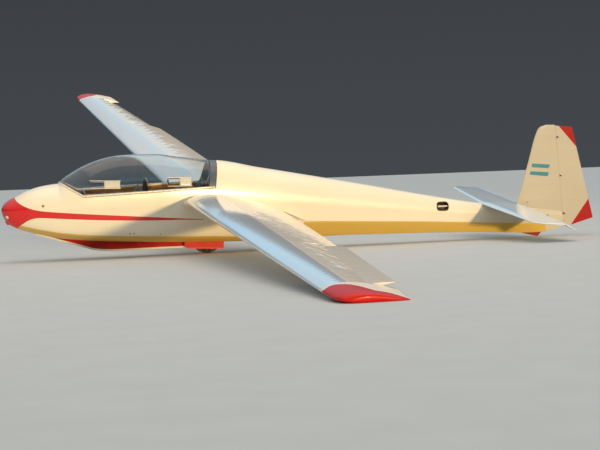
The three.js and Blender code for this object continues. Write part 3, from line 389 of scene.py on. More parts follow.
def rounded(outline, passes=2):
    """A closed outline with its corners cut: each pass puts two points on each side, a quarter in from its ends."""
    for _ in range(passes):
        after = np.roll(outline, -1, axis=0)
        outline = np.stack([outline * 0.75 + after * 0.25, outline * 0.25 + after * 0.75], 1).reshape(-1, 2)
    return outline


def depth_in(points, outline):
    """Distance of each point (..., 2) to the nearest side of a closed outline, positive inside it. A point is inside
    when a ray from it crosses an odd number of sides."""
    start, end = outline, np.roll(outline, -1, axis=0)
    side = end - start
    offset = points[..., None, :] - start
    t = np.clip((offset * side).sum(-1) / (side ** 2).sum(-1), 0, 1)
    near = np.linalg.norm(offset - t[..., None] * side, axis=-1).min(-1)
    level = points[..., None, 1]
    crosses = (start[:, 1] > level) != (end[:, 1] > level)
    reach = start[:, 0] + side[:, 0] * (level - start[:, 1]) / np.where(side[:, 1] == 0, 1e-9, side[:, 1])
    return np.where((crosses & (points[..., None, 0] < reach)).sum(-1) % 2, near, -near)


skin_x = np.concatenate([
    0.36 * np.linspace(0, 1, 30, endpoint=False) ** 1.6, np.linspace(0.36, 0.69, 22, endpoint=False),
    np.linspace(0.69, 1.02, 26, endpoint=False), np.linspace(1.02, 2.64, 72, endpoint=False),
    np.linspace(2.64, 2.71, 26, endpoint=False), np.linspace(2.71, 5.66, 110, endpoint=False),
    np.linspace(5.66, 5.89, 38, endpoint=False), np.linspace(5.89, 7.58, 66),
])
skin_x[np.abs(skin_x - 2.384).argmin()], skin_x[np.abs(skin_x - 2.838).argmin()] = 2.384, 2.838
NOSE_FLARE = rounded(np.array([
    (-0.30, 1.00), (0.145, 1.00), (0.148, 0.83), (0.152, 0.78), (0.170, 0.741), (0.210, 0.709), (0.260, 0.683),
    (0.320, 0.658), (0.390, 0.639), (0.500, 0.622), (0.800, 0.601), (1.440, 0.561), (1.830, 0.536), (2.470, 0.494),
    (2.560, 0.488), (2.470, 0.483), (1.440, 0.496), (0.800, 0.526), (0.500, 0.540), (0.440, 0.541), (0.390, 0.535),
    (0.340, 0.520), (0.300, 0.500), (0.260, 0.470), (0.220, 0.436), (0.190, 0.395), (0.180, 0.300), (-0.30, 0.300),
]))
BELLY_START, BELLY_ROUND = 3.825, 0.045


def paint_marks(points):
    """How deep each level point lies in the red, and in the golden belly, which is all below the lower chine, and aft
    of the wing all below the upper one, with one round corner."""
    x, z = points[..., 0], points[..., 2]
    chines = fair(STATION, x.reshape(-1))
    low, high = chines[:, 2].reshape(x.shape), chines[:, 4].reshape(x.shape)
    across, down = BELLY_ROUND - (x - BELLY_START), BELLY_ROUND - (high + 0.012 - z)
    corner = BELLY_ROUND - np.hypot(np.maximum(across, 0), np.maximum(down, 0))
    rear = np.where((across > 0) & (down > 0), corner, np.minimum(x - BELLY_START, high + 0.012 - z))
    gold = np.minimum(np.maximum(low + 0.004 - z, rear), 7.31 - x - 0.3 * (z - 0.17))
    return depth_in(points[..., ::2], NOSE_FLARE), gold


POST = np.array([(7.570, 0.267), (7.380, 1.626)])
SIDES = (("port", -1), ("starboard", 1))


def post_x(z):
    """Where the rudder's hinge line is at height z."""
    return POST[0, 0] + (z - POST[0, 1]) * (POST[1, 0] - POST[0, 0]) / (POST[1, 1] - POST[0, 1])


roundness = np.interp(skin_x, [0.0, 0.5, 2.6, 3.6, 4.2], [0.49, 0.45, 0.40, 0.25, 0.12])
rings = whole_rings(skin_x, hull_half(skin_x, skin_edge(skin_x), round_share=roundness))
POST_GAP = 0.036  # the hollow that the rudder's nose turns in
hollow = post_x(rings[..., 2]) - np.sqrt(np.maximum(POST_GAP ** 2 - rings[..., 1] ** 2, 0))
rings[..., 0] = np.minimum(rings[..., 0], hollow)
closing = np.stack([rings[-1] * (1, share, 1) for share in (1, 0.75, 0.5, 0.25, 0)])
closing[..., 0] = post_x(closing[..., 2]) - np.sqrt(np.maximum(POST_GAP ** 2 - closing[..., 1] ** 2, 0))
skin = np.concatenate([rings, closing[1:]])
reds, golds = paint_marks(skin)
# The wheel well is open below, and a hand-hold is sunk into each side of the rear fuselage
WELL = {"from": 2.384, "to": 2.838, "half": 0.066, "top": 0.424}
middles = (skin[1:, 1:] + skin[:-1, :-1] + skin[1:, :-1] + skin[:-1, 1:]) / 4
middle_x, middle_y, middle_z = np.moveaxis(middles, -1, 0)
open_well = (middle_x > WELL["from"]) & (middle_x < WELL["to"]) & (np.abs(middle_y) < WELL["half"]) & (middle_z < 0.25)
HOLD = {"x": 5.7715, "z": 0.5670, "long": 0.0785, "high": 0.0510, "deep": 0.055, "lip": 0.012}
sweep = np.arange(48) * 2 * np.pi / 48
HANDHOLD = np.stack([HOLD["x"] + HOLD["long"] * np.sign(np.cos(sweep)) * np.abs(np.cos(sweep)) ** 0.5,
                     HOLD["z"] + HOLD["high"] * np.sign(np.sin(sweep)) * np.abs(np.sin(sweep)) ** 0.5], 1)
pockets = depth_in(skin[..., ::2], HANDHOLD)
sunk = np.clip(pockets / HOLD["lip"], 0, 1)
skin[..., 1] -= np.sign(skin[..., 1]) * HOLD["deep"] * sunk * sunk * (3 - 2 * sunk)

# Two-pack gloss over fabric and filler. The eye sees a soft orange-peel gloss, a slow waviness where the fabric
# spans from stringer to stringer, and masked edges between the colours.
def masked(tree, ground, *colours):
    """Colours laid over the ground in turn, each where the depth that its mark keeps is above 0, with an edge 2 mm
    soft."""
    for mark, colour in colours:
        depth = node(tree, "ShaderNodeAttribute", attribute_name=mark).outputs["Fac"]
        ground = between(tree, ranged(tree, depth, From_Min=-0.001, From_Max=0.001), ground, colour)
    return ground


IVORY, SIGNAL_RED, GOLD = "#f0e6cf", "#cf1409", "#d9b24c"
skin_finish, tree, main = new_finish("two_pack_gloss", Roughness=0.32, IOR=1.5, Coat_Weight=0.6, Coat_Roughness=0.12)
here = node(tree, "ShaderNodeTexCoord").outputs["Object"]
rearward = ranged(tree, node(tree, "ShaderNodeSeparateXYZ", {"Vector": here}).outputs["X"], From_Min=2.0,
                  From_Max=3.0)
tint = between(tree, drawn(tree, here, "Noise", Scale=1.6, Detail=3.0), "#eadfc6", IVORY)
# Inside each hand-hold pocket the skin is painted dark brown: painted shade in the recess.
paint = masked(tree, between(tree, rearward, tint, "#cfc3ab"), ("gold", GOLD), ("red", SIGNAL_RED),
               ("pocket_shade", "#3a2413"))
tree.links.new(paint, main.inputs["Base Color"])
wave, peel = (drawn(tree, here, "Noise", Scale=scale, Detail=detail) for scale, detail in ((3.0, 2.0), (160.0, 1.0)))
raised(tree, main, (wave, 0.25, 0.02), (peel, 0.04, 0.001))
piece("fuselage_skin", [(skin, False, (0,), open_well)], skin_finish, "airframe",
      ["nose_cap", "cockpit_shell_front", "cockpit_shell_rear", "wing_bay_fuselage", "rear_fuselage", "tail_cone"],
      {"red": [reds], "gold": [golds], "pocket_shade": [pockets]})

# Hand-hold rims. A dark leather-bound ring edges each pocket in the rear fuselage, and a painted steel tube of the
# frame runs across it as the grip.
def tube(path, radius, sides=12, closed=False, flatten=1.0, turn=0.0):
    """A round tube (n, sides, 3) along a path (n, 3): at each point the circle's axes are the two normals of a frame
    that keeps as near as it can to the level's up."""
    path = np.asarray(path, float)
    ahead = np.roll(path, -1, 0) - np.roll(path, 1, 0) if closed else np.gradient(path, axis=0)
    ahead /= np.linalg.norm(ahead, axis=1)[:, None]
    guide = np.where(np.abs(ahead[:, 2:]) > 0.9, (1.0, 0.0, 0.0), (0.0, 0.0, 1.0))
    side = np.cross(ahead, guide)
    side /= np.linalg.norm(side, axis=1)[:, None]
    over = np.cross(side, ahead)
    angle = np.arange(sides) * 2 * np.pi / sides + turn
    radius = np.broadcast_to(np.reshape(radius, (-1, 1, 1)), (len(path), 1, 1))
    return path[:, None] + radius * (side[:, None] * np.cos(angle)[:, None]
                                     + flatten * over[:, None] * np.sin(angle)[:, None])


def skin_side(x, z):
    """Half width of the fuselage skin at x and a height at or above the shoulder, or between the chines."""
    keel, keel_half, low, low_half, high, high_half, shoulder, half, _ = fair(STATION, x).T
    lift = np.clip((z - shoulder) / (hull_top(x) - shoulder), 0, 1)
    slope = np.where(z > high, high_half + (half - high_half) * np.clip((z - high) / (shoulder - high), 0, 1),
                     low_half + (high_half - low_half) * np.clip((z - low) / (high - low), 0, 1))
    return np.where(z > shoulder, half * np.sqrt(1 - lift * lift), slope)


# Bound leather: dark brown, matt, with a fine grain
leather_finish = two_tone("bound_leather", ("#4a2b16", "#3a2010"), dict(kind="Voronoi", Scale=400.0), (0.3, 0.001),
                          Roughness=0.6)
rims, bars = [], []
for side in (-1, 1):
    rim_x, rim_z = HANDHOLD.T
    path = np.stack([rim_x, side * (skin_side(rim_x, rim_z) - 0.001), rim_z], 1)
    ring = tube(np.concatenate([path, path[:1]]), 0.009, 10)
    ring[-1] = ring[0]
    rims.append((ring, True, ()))
    bar_x = np.linspace(5.690, 5.853, 14)
    bar_y = side * (skin_side(bar_x, np.full(14, 0.566)) - 0.016)
    bars.append((tube(np.stack([bar_x, bar_y, np.full(14, 0.566)], 1), 0.010, 16), True, (0, -1)))
piece("handhold_rims", rims, leather_finish, "airframe")
piece("handhold_bars", bars, skin_finish, "airframe",
      marks=dict.fromkeys(("red", "gold", "pocket_shade"), [np.full((14, 16), -1.0)] * 2))


# Cockpit lining. Varnished birch plywood over the frame, with bulkheads at both ends of the cabin and a bent ash
# strip capping the wall along the sill.
WALL = 0.024
lining_x = np.concatenate([np.linspace(0.40, 0.69, 10, endpoint=False), np.linspace(0.69, 1.02, 26, endpoint=False),
                           np.linspace(1.02, 2.64, 60)])
lining = whole_rings(lining_x, hull_half(lining_x, np.minimum(skin_edge(lining_x), hull_top(lining_x) - WALL), WALL,
                                         0.35))
ply_finish, tree, main = new_finish("varnished_birch_ply", Roughness=0.4, Coat_Weight=0.4, Coat_Roughness=0.2)
here = node(tree, "ShaderNodeTexCoord").outputs["Object"]
stretched = node(tree, "ShaderNodeMapping", {"Vector": here, "Scale": (6.0, 60.0, 60.0)})
rays = drawn(tree, stretched.outputs["Vector"], "Noise", Scale=3.0, Detail=6.0, Distortion=0.4)
shade = node(tree, "ShaderNodeValToRGB", {"Fac": rays})
shade.color_ramp.elements[0].position, shade.color_ramp.elements[1].position = 0.3, 0.7
shade.color_ramp.elements[0].color = linear("#9a6b32")
shade.color_ramp.elements[1].color = linear("#c8995a")
tree.links.new(shade.outputs["Color"], main.inputs["Base Color"])
raised(tree, main, (rays, 0.1, 0.001))
piece("cockpit_lining", [(lining, False, (0, -1))], ply_finish, "airframe")

turn = np.linspace(0, 1, 24)
lean_x = np.full(24, 2.664)
for _ in range(4):
    shoulder, half, top = fair(STATION, lean_x)[:, 6], fair(STATION, lean_x)[:, 7], hull_top(lean_x)
    low_turn = np.arcsin((0.886 - shoulder) / (top - shoulder))
    angle = low_turn + (np.pi / 2 - low_turn) * turn
    lean_z = shoulder + (top - shoulder) * np.sin(angle)
    lean_x = 2.664 + HOOP_LEAN * (lean_z - 0.886)
across = np.linspace(-1, 1, 15)
lean_y = (half * np.cos(angle))[:, None] * across
rear_wall = grid(lean_x[:, None] + 0.002, lean_y, lean_z[:, None])
ledge = np.stack([rear_wall[0] + (-0.026, 0, -0.001), rear_wall[0]])
piece("rear_bulkhead", [(np.concatenate([ledge[:1], rear_wall]), False, ())], ply_finish, "airframe",
      wall=0.002)

# Ash strip on the sill: a half round 24 mm wide and 4 mm high, steamed round the kink
sill_x = np.concatenate([np.linspace(0.712, 1.02, 40, endpoint=False), np.linspace(1.02, 2.66, 60)])
sill_z = np.interp(sill_x, SILL[:, 0], SILL[:, 1])


def ellipse_side(x, z, inset=0.0):
    """Half width of the bubble, or of the skin under it, at x and height z, drawn in by the inset."""
    shoulder, half, top = fair(STATION, x)[:, 6], fair(STATION, x)[:, 7] - inset, hull_top(x) - inset
    lift = np.clip((z - shoulder) / (top - shoulder), 0, 1)
    return half * np.sqrt(1 - lift * lift)


outer, inner = ellipse_side(sill_x, sill_z) + 0.0015, ellipse_side(sill_x, sill_z, WALL) - 0.002
sweep = np.linspace(0, np.pi, 9)
strips = []
for side in (-1, 1):
    middle, reach = (outer + inner) / 2, (outer - inner) / 2
    y = side * (middle[:, None] + reach[:, None] * np.cos(sweep))
    z = sill_z[:, None] - 0.002 + 0.0055 * np.sin(sweep)
    strips.append((grid(sill_x[:, None], y, z), True, (0, -1)))
ash_finish = two_tone("varnished_ash", ("#8a4f22", "#b9783c"), dict(kind="Noise", Scale=2.0, Detail=5.0),
                      stretch=(3.0, 90.0, 90.0), Roughness=0.35, Coat_Weight=0.5, Coat_Roughness=0.15)
piece("sill_strips", strips, ash_finish, "airframe")

# Wings. Each is a spruce spar and ribs with a plywood nose back to the spar and doped fabric behind it. The fabric
# is drawn down between the ribs, which stand 240 mm apart, and slack wrinkles slant across its bays.
# Riblets under the nose stand closer.
LEAD, HEIGHT, CHORD, INCIDENCE, THICKNESS = (2.267, 1.945), (0.713, 1.213), (1.236, 0.622), (6, 1), (0.155, 0.140)
REFERENCE, ROOT_RIB, END_RIB, HALF_SPAN = 8.300, 0.620, 7.800, 8.340
CAMBER, CREST, TRAIL = 0.04, 0.4, 0.003
FILLET = {"y": 0.250, "lead": 2.235, "height": 0.680, "chord": 1.655, "incidence": 8.5, "sweep": 2.2}
RIB_PITCH, SPAR = 0.240, 0.33
RIBLET_PITCH, WRINKLES = 0.120, 19


def wing_station(y):
    """Leading edge, its height, chord, incidence and thickness at span stations y. They run straight from root to
    tip, but the incidence washes out as a parabola. Inboard of the root rib they sweep to the fillet's values by a
    power of the distance."""
    t = np.abs(y) / REFERENCE
    station = [a + (b - a) * t for a, b in (LEAD, HEIGHT, CHORD)]
    station.append(INCIDENCE[1] + (INCIDENCE[0] - INCIDENCE[1]) * (1 - t) ** 2)
    inboard = np.clip((ROOT_RIB - np.abs(y)) / (ROOT_RIB - FILLET["y"]), 0, 1) ** FILLET["sweep"]
    root = [FILLET[key] for key in ("lead", "height", "chord", "incidence")]
    station = [a + (b - a) * inboard for a, b in zip(station, root)]
    return (*station, THICKNESS[0] + (THICKNESS[1] - THICKNESS[0]) * t)


def section(share, thickness):
    """Height of the camber line and half thickness at a share of the chord, per unit of chord: two parabolas that
    meet at the crest, and the usual four-digit thickness polynomial."""
    front = CAMBER / CREST ** 2 * (2 * CREST * share - share ** 2)
    rear = CAMBER / (1 - CREST) ** 2 * (1 - 2 * CREST + 2 * CREST * share - share ** 2)
    half = 5 * thickness * (0.2969 * np.sqrt(share) - 0.126 * share - 0.3516 * share ** 2 + 0.2843 * share ** 3
                            - 0.1036 * share ** 4)
    return np.where(share < CREST, front, rear), half


def wing_point(y, share, up):
    """Level points of the wing: share of the chord back along the chord line, and up, in chords, square to it."""
    lead, height, chord, incidence, _ = wing_station(y)
    tilt = np.radians(incidence)
    aft_by, up_by = share * chord, up * chord
    return grid(lead + aft_by * np.cos(tilt) + up_by * np.sin(tilt), y,
                                        height - aft_by * np.sin(tilt) + up_by * np.cos(tilt))


def drawn_down(y, share):
    """How deep the covering lies below the ribs' outline: parabolas from rib to rib, 1.5 mm deep on the fabric and
    0.35 mm between the nose's riblets, less the wrinkles. Each wrinkle is a ridge with a bell-shaped section, about
    0.5 m long, that runs outboard and aft."""
    bay, small_bay = (np.mod((np.abs(y) - ROOT_RIB) / pitch, 1) for pitch in (RIB_PITCH, RIBLET_PITCH))
    over_fabric = np.sin(np.pi * np.clip((share - SPAR) / (0.98 - SPAR), 0, 1)) ** 0.6
    over_nose = np.exp(-((share - 0.18) / 0.10) ** 2)
    depth = 4 * (0.0015 * bay * (1 - bay) * over_fabric + 0.00035 * small_bay * (1 - small_bay) * over_nose)
    chord = wing_station(y)[2]
    for number in range(WRINKLES):
        drift = np.sin(2.4 * number)
        start = np.array([2.3 + RIB_PITCH * number + 0.04 * drift, (0.41 + 0.02 * drift) * chord.mean()])
        way = np.array([0.60 + 0.10 * drift, (0.26 + 0.03 * drift) * chord.mean()])
        offset = grid(np.abs(y), share * chord) - start
        t = np.clip(offset @ way / (way @ way), 0, 1)
        far = np.linalg.norm(offset - t[..., None] * way, axis=-1)
        depth = depth - 0.0058 * np.sin(np.pi * np.clip(t, 0.02, 0.98)) * np.exp(-(far / 0.032) ** 2) * over_fabric
    return depth


def wing_rings(y, rear_share=1.0, sag=True, front=0.0, thick=1.0):
    """Rings (n, m, 3) from the upper rear edge round the nose to the lower rear edge, in cosine steps of the chord.
    Front and thick pull the section in, for the rounded tip."""
    y = np.asarray(y, float)[:, None]
    upper, lower = 0.5 + 0.5 * np.cos(np.linspace(0, np.pi, 84)), 0.5 - 0.5 * np.cos(np.linspace(0, np.pi, 28))[1:]
    share = np.concatenate([upper, lower])[None] * np.reshape(rear_share, (-1, 1))
    sense = np.where(np.arange(share.shape[1]) < len(upper), 1.0, -1.0)
    chord, thickness = wing_station(y)[2], wing_station(y)[4]
    rise, half = section(share, thickness)
    thick, front = np.reshape(thick, (-1, 1)), np.reshape(front, (-1, 1))
    up = rise * thick + sense * (half * thick + TRAIL / 2 / chord * share)
    if sag:
        up = up - sense * drawn_down(y, share) / chord
    return wing_point(y, front + share * (1 - front), up), share + 0 * y, sense


# Ailerons hang on a rod inside the wing's rear cove, on the camber line
AILERON = {"from": 5.230, "to": 7.730, "chord": (0.218, 0.258), "rest": 12.5, "nose": 0.034}
COVE_GAP, END_GAP = 0.006, 0.008


def aileron_share(y):
    """Share of the wing's chord where the aileron's hinge line runs."""
    t = (np.abs(y) - AILERON["from"]) / (AILERON["to"] - AILERON["from"])
    return 1 - (AILERON["chord"][0] + (AILERON["chord"][1] - AILERON["chord"][0]) * t) / wing_station(y)[2]


def aileron_axis(y):
    """Points of the aileron's hinge line."""
    share = aileron_share(y)
    return wing_point(y, share, section(share, wing_station(y)[4])[0])


# Doped fabric and painted plywood, one near-white gloss. The eye sees the ribs' taped edges, a fine weave that the
# dope has filled, a cloudy tint, and on the plywood nose a harder shine.
def tapes(tree, half):
    """Where the ribs' tapes lie: 1 up to half their width from a rib, and 0 from 3 mm farther."""
    rib = node(tree, "ShaderNodeAttribute", attribute_name="rib").outputs["Fac"]
    return ranged(tree, rib, From_Min=half, From_Max=half + 0.003, To_Min=1.0, To_Max=0.0)


def doped(name, fabric, ply, coat, shine):
    """The covering's finish, from its fabric's two tints, its plywood's tint, how much gloss lies over it, and how
    strongly the paint below that shines. The tints carry painted light: warm for sunlight on the wing, cool for
    shade on the tail."""
    finish, tree, main = new_finish(name, IOR=1.5, Specular_IOR_Level=shine, Coat_Weight=coat, Coat_Roughness=0.06)
    here = node(tree, "ShaderNodeTexCoord").outputs["Object"]
    tint = between(tree, drawn(tree, here, "Noise", Scale=2.2, Detail=4.0), *fabric)
    on_nose, tape = node(tree, "ShaderNodeAttribute", attribute_name="nose").outputs["Fac"], tapes(tree, 0.018)
    over_ply = between(tree, on_nose, between(tree, tape, tint, "#f0e8da"), ply)
    tree.links.new(masked(tree, over_ply, ("red", SIGNAL_RED)), main.inputs["Base Color"])
    tree.links.new(ranged(tree, on_nose, To_Min=0.34, To_Max=0.10), main.inputs["Roughness"])
    raised(tree, main, (tape, 0.3, 0.0005), (drawn(tree, here, "Noise", Scale=220.0, Detail=1.0), 0.004, 0.001))
    return finish


# Painted light: the wing's and tip's tints are warm for sunlight, and the tail's are cool for shade under the sky.
wing_warm_lit_finish = doped("doped_fabric_painted_warm_light", ("#f6e0c6", "#ffecd6"), "#e6e8ea", 0.7, 0.5)
tail_cool_shade_finish = doped("doped_tail_fabric_painted_shade", ("#dde6ec", "#e8f0f4"), "#e0eaf0", 0.4, 0.4)
tip_warm_lit_finish = doped("rubbed_block_painted_warm_light", ("#f8e4cb", "#fff0dc"), "#e6e8ea", 0.04, 0.2)


def wing_marks(y, share):
    """Marks of the wing finish: how far onto the plywood nose, the distance to the nearest rib, and no red."""
    y, share = np.broadcast_arrays(y, share)
    bay = np.mod((np.abs(y) - ROOT_RIB) / RIB_PITCH, 1)
    rib_far = np.minimum(bay, 1 - bay) * RIB_PITCH
    nose = np.clip((SPAR - share) / 0.01, 0, 1) * np.clip((np.abs(y) - ROOT_RIB - 0.1) / 0.5, 0, 1)
    return {"nose": nose, "rib": rib_far, "red": np.full(y.shape, -1.0)}


def stack_marks(marks):
    """Marks of several parts as one table of lists."""
    return {key: [part[key] for part in marks] for key in marks[0]}


def hinged(points, start, way, degrees):
    """Points turned about a line: p along + p across cos + (way x p) sin."""
    way = way / np.linalg.norm(way)
    offset, angle = points - start, np.radians(degrees)
    along = (offset @ way)[..., None] * way
    return start + along + (offset - along) * np.cos(angle) + np.cross(way, offset) * np.sin(angle)


def flap_rings(centre, nose, chord, drop, thick_axis, count=28, bulge=0.0, ribs=None):
    """Rings of a control surface: a round nose of the given radius about the hinge line, and sides that thin evenly
    to a 3 mm trailing edge, swollen by the bulge and drawn in between its ribs."""
    turn = np.linspace(0.5 * np.pi, 1.5 * np.pi, 15)[None]
    back = np.linspace(1, 0, count)[None]
    nose, chord, drop = (np.reshape(v, (-1, 1)) for v in (nose, chord, drop))
    swell = bulge * np.sin(np.pi * back) * nose
    sag = 0 if ribs is None else ribs[:, None] * np.sin(np.pi * back) ** 0.6
    upper_aft, upper_up = back * chord, back * drop + nose * (1 - back) + TRAIL / 2 * back + swell - sag
    lower_aft, lower_up = back[:, ::-1] * chord, (back * drop - nose * (1 - back) - TRAIL / 2 * back - swell
                                                  + sag)[:, ::-1]
    aft_by = np.concatenate([upper_aft[:, :-1], nose * np.cos(turn), lower_aft[:, 1:]], 1)
    up_by = np.concatenate([upper_up[:, :-1], nose * np.sin(turn), lower_up[:, 1:]], 1)
    share = np.concatenate([back[0, :-1], np.zeros(15), back[0, ::-1][1:]])
    return centre[:, None] + aft_by[..., None] * (1, 0, 0) + up_by[..., None] * np.asarray(thick_axis, float), share


for side, sign in SIDES:
    stations = np.unique(np.concatenate([np.linspace(ROOT_RIB, AILERON["from"] - END_GAP, 345),
                                         np.arange(ROOT_RIB, AILERON["from"] - END_GAP, RIB_PITCH)]))
    inner, share_in, _ = wing_rings(sign * stations)
    bay_y = np.unique(np.concatenate([np.linspace(AILERON["from"] - END_GAP, AILERON["to"] + END_GAP, 188),
                                      np.arange(ROOT_RIB, AILERON["to"], RIB_PITCH)[20:]]))
    bay_y = bay_y[bay_y >= AILERON["from"] - END_GAP]
    front_part, share_bay, _ = wing_rings(sign * bay_y, aileron_share(bay_y))
    centre = aileron_axis(sign * bay_y)
    radius = AILERON["nose"] * wing_station(bay_y)[2] + COVE_GAP
    turn = np.linspace(-0.5 * np.pi, 0.5 * np.pi, 13)
    cove = centre[:, None] + radius[:, None, None] * np.stack([-np.cos(turn), 0 * turn, np.sin(turn)], 1)
    bay = np.concatenate([front_part, cove], 1)
    share_bay = np.concatenate([share_bay, np.full(cove.shape[:2], 0.9)], 1)
    outer_y = np.array([AILERON["to"] + END_GAP, 7.76, 7.78, END_RIB])
    outer, share_out, _ = wing_rings(sign * outer_y)
    parts = [(inner, True, (0, -1)), (bay, True, (0, -1)), (outer, True, (0, -1))]
    covered = ((stations, share_in), (bay_y, share_bay), (outer_y, share_out))
    marks = [wing_marks(y[:, None], share) for y, share in covered]
    piece(f"wing_{side}_skin", parts, wing_warm_lit_finish, "airframe", [f"wing_{side}"], stack_marks(marks),
          merge=1e-5)

    # The aileron's own ribs stand in line with the wing's
    y = np.unique(np.concatenate([np.linspace(AILERON["from"], AILERON["to"], 90),
                                  np.arange(ROOT_RIB, AILERON["to"], RIB_PITCH)[20:]]))
    centre = aileron_axis(sign * y)
    trail = wing_point(sign * y, 1.0, 0.0)
    bay_share = np.mod((y - ROOT_RIB) / RIB_PITCH, 1)
    rings, share = flap_rings(centre, AILERON["nose"] * wing_station(y)[2], trail[:, 0] - centre[:, 0],
                              trail[:, 2] - centre[:, 2],
                              (0, 0, 1), bulge=0.06, ribs=0.0009 * 4 * bay_share * (1 - bay_share))
    first, last = (aileron_axis(np.array([sign * end]))[0] for end in (AILERON["from"], AILERON["to"]))
    rings = hinged(rings, first, last - first, AILERON["rest"])
    piece(f"aileron_{side}_skin", [(rings, True, (0, -1))], wing_warm_lit_finish, f"aileron_{side}",
          [f"aileron_{side}"],
          stack_marks([wing_marks(y[:, None], 0.9 + 0 * share[None])]), merge=1e-5)

# Wing tips. A block of balsa and ply rounded by hand outboard of the end rib, filled, and painted red beyond a
# swept line. The front corner is cream.
TIP_ROWS = np.array([(0, 0, 1), (0.25, 0.002, 0.995), (0.5, 0.010, 0.98), (0.64, 0.020, 0.96), (0.78, 0.035, 0.93),
                     (0.86, 0.058, 0.885), (0.93, 0.090, 0.82), (0.97, 0.125, 0.74), (1, 0.180, 0.62)])
RED_EDGE = np.array([(7.80, -0.02), (7.87, 0.02), (7.85, 0.10), (7.85, 0.16), (7.93, 0.33), (8.02, 0.43),
                     (8.18, 0.56),
                     (8.20, 0.78), (8.30, 1.02), (9.0, 1.02), (9.0, -0.02)]) * (1, 0.65)
for side, sign in SIDES:
    out = np.linspace(0, 1, 40) ** 0.7
    front, thick = np.interp(out, TIP_ROWS[:, 0], TIP_ROWS[:, 1]), np.interp(out, TIP_ROWS[:, 0], TIP_ROWS[:, 2])
    y = END_RIB + out * (HALF_SPAN - END_RIB)
    rings, share, _ = wing_rings(sign * y, sag=False, front=front, thick=thick)
    closing = [rings[-1] + (rings[-1].mean(0) - rings[-1]) * (1, 0, 1) * inward for inward in (0.25, 0.6)]
    closing = [row + (0, sign * bulge, 0) for row, bulge in zip(closing, (0.004, 0.006))]
    rings = np.concatenate([rings, closing])
    flat = grid(np.abs(rings[..., 1]), 0.65 * np.concatenate([share, share[-1:], share[-1:]]))
    marks = {"nose": [np.zeros(flat.shape[:2])], "rib": [np.full(flat.shape[:2], 0.1)],
             "red": [depth_in(flat, RED_EDGE)]}
    piece(f"tip_{side}_block", [(rings, True, (0, -1))], tip_warm_lit_finish, "airframe",
          [f"wing_tip_{side}"], marks)

# Root fairings. Formed alloy sheet, filled and painted with the wing, sweeps each root into the fuselage side.
for side, sign in SIDES:
    y = 0.150 + (ROOT_RIB - 0.0003 - 0.150) * np.linspace(0, 1, 48)
    rings, share, _ = wing_rings(sign * y, sag=False)
    marks = {"nose": [np.full(share.shape, 0.0)], "rib": [np.full(share.shape, 0.1)],
             "red": [np.full(share.shape, -1.0)]}
    piece(f"root_fairing_{side}_sheet", [(rings, True, (0, -1))], wing_warm_lit_finish, "airframe",
          [f"root_fairing_{side}"], marks)

# Tailplane and elevators. The plane is bolted to the deck ahead of the fin, fabric over ribs behind a ply nose. The
# two elevators share one steel torque tube, and hang down when nobody holds the stick.
TAIL = {"half": 1.550, "lead": (6.352, 6.500), "lead_z": (0.575, 0.565), "hinge": (6.930, 0.537),
        "thick": (0.044, 0.026),
        "rounding": 0.080, "nose": (0.018, 0.011), "elevator": (0.215, 0.172), "inner": 0.112, "rest": 30,
        "ribs": 0.205}
TAIL_SECTION = np.array([(0, 0), (0.02, 0.42), (0.1, 0.78), (0.35, 1.0), (0.7, 0.96), (1.0, 0.82)])
TAIL_SECTION[:, 0] **= 0.5  # so that the fair line starts as a round nose


def tail_rings(y):
    """Rings of the tailplane: a fair section through the table from the cove's lip round the nose and back, the
    plan's corners rounded off by a square law, the edge closed by a quarter circle, and the cove an arc about the
    hinge."""
    t = (np.abs(y) / TAIL["half"])[:, None]
    corner = np.maximum(0, (np.abs(y) - TAIL["half"]) / TAIL["rounding"] + 1)[:, None] ** 2
    edge = np.sqrt(1 - np.clip((np.abs(y) - TAIL["half"]) / 0.012 + 1, 0, 0.97) ** 2)[:, None]
    lead = TAIL["lead"][0] + (TAIL["lead"][1] - TAIL["lead"][0]) * t + TAIL["rounding"] * corner
    half = (TAIL["thick"][0] + (TAIL["thick"][1] - TAIL["thick"][0]) * t) / 2 * (1 - 0.4 * corner) * edge
    chord = TAIL["hinge"][0] - lead
    radius = TAIL["nose"][0] + COVE_GAP
    lip = 1 - np.sqrt(radius ** 2 - (0.8 * half) ** 2) / chord
    share = np.concatenate([np.linspace(1, 0, 34) ** 2, np.linspace(0, 1, 34)[1:] ** 2])[None] * lip
    sense = np.where(np.arange(67) < 34, 1, -1)
    bay = np.mod(np.abs(y) / TAIL["ribs"], 1)[:, None]
    fades = np.clip((share - 0.35) / 0.1, 0, 1) * np.clip((0.97 - share) / 0.1, 0, 1)
    sag = 0.0006 * 4 * bay * (1 - bay) * fades * edge
    thick = fair(TAIL_SECTION, np.sqrt(share).reshape(-1))[:, 0].reshape(share.shape)
    level = TAIL["lead_z"][0] + (TAIL["lead_z"][1] - TAIL["lead_z"][0]) * t
    z = level + (TAIL["hinge"][1] - level) * share + sense * (half * thick - sag)
    x = lead + share * chord
    dip = np.arcsin(np.clip((z[:, -1:] - TAIL["hinge"][1]) / radius, -1, 1)) * np.linspace(1, -1, 11)[None]
    cove_x, cove_z = TAIL["hinge"][0] - radius * np.cos(dip), TAIL["hinge"][1] + radius * np.sin(dip)
    x, z = np.concatenate([x, cove_x], 1), np.concatenate([z, cove_z], 1)
    return grid(x, y[:, None], z), np.concatenate([share, 0.9 + 0 * cove_x], 1)


def tail_marks(y, share):
    """Marks of the wing finish on the tail: ply back to a third of the plane, and the distance to the nearest rib."""
    y, share = np.broadcast_arrays(y, share)
    bay = np.mod(np.abs(y) / TAIL["ribs"], 1)
    return {"nose": 0.7 + 0.3 * np.clip((0.35 - share) / 0.01, 0, 1),
            "rib": np.minimum(bay, 1 - bay) * TAIL["ribs"] + 0.006, "red": np.full(y.shape, -1.0)}


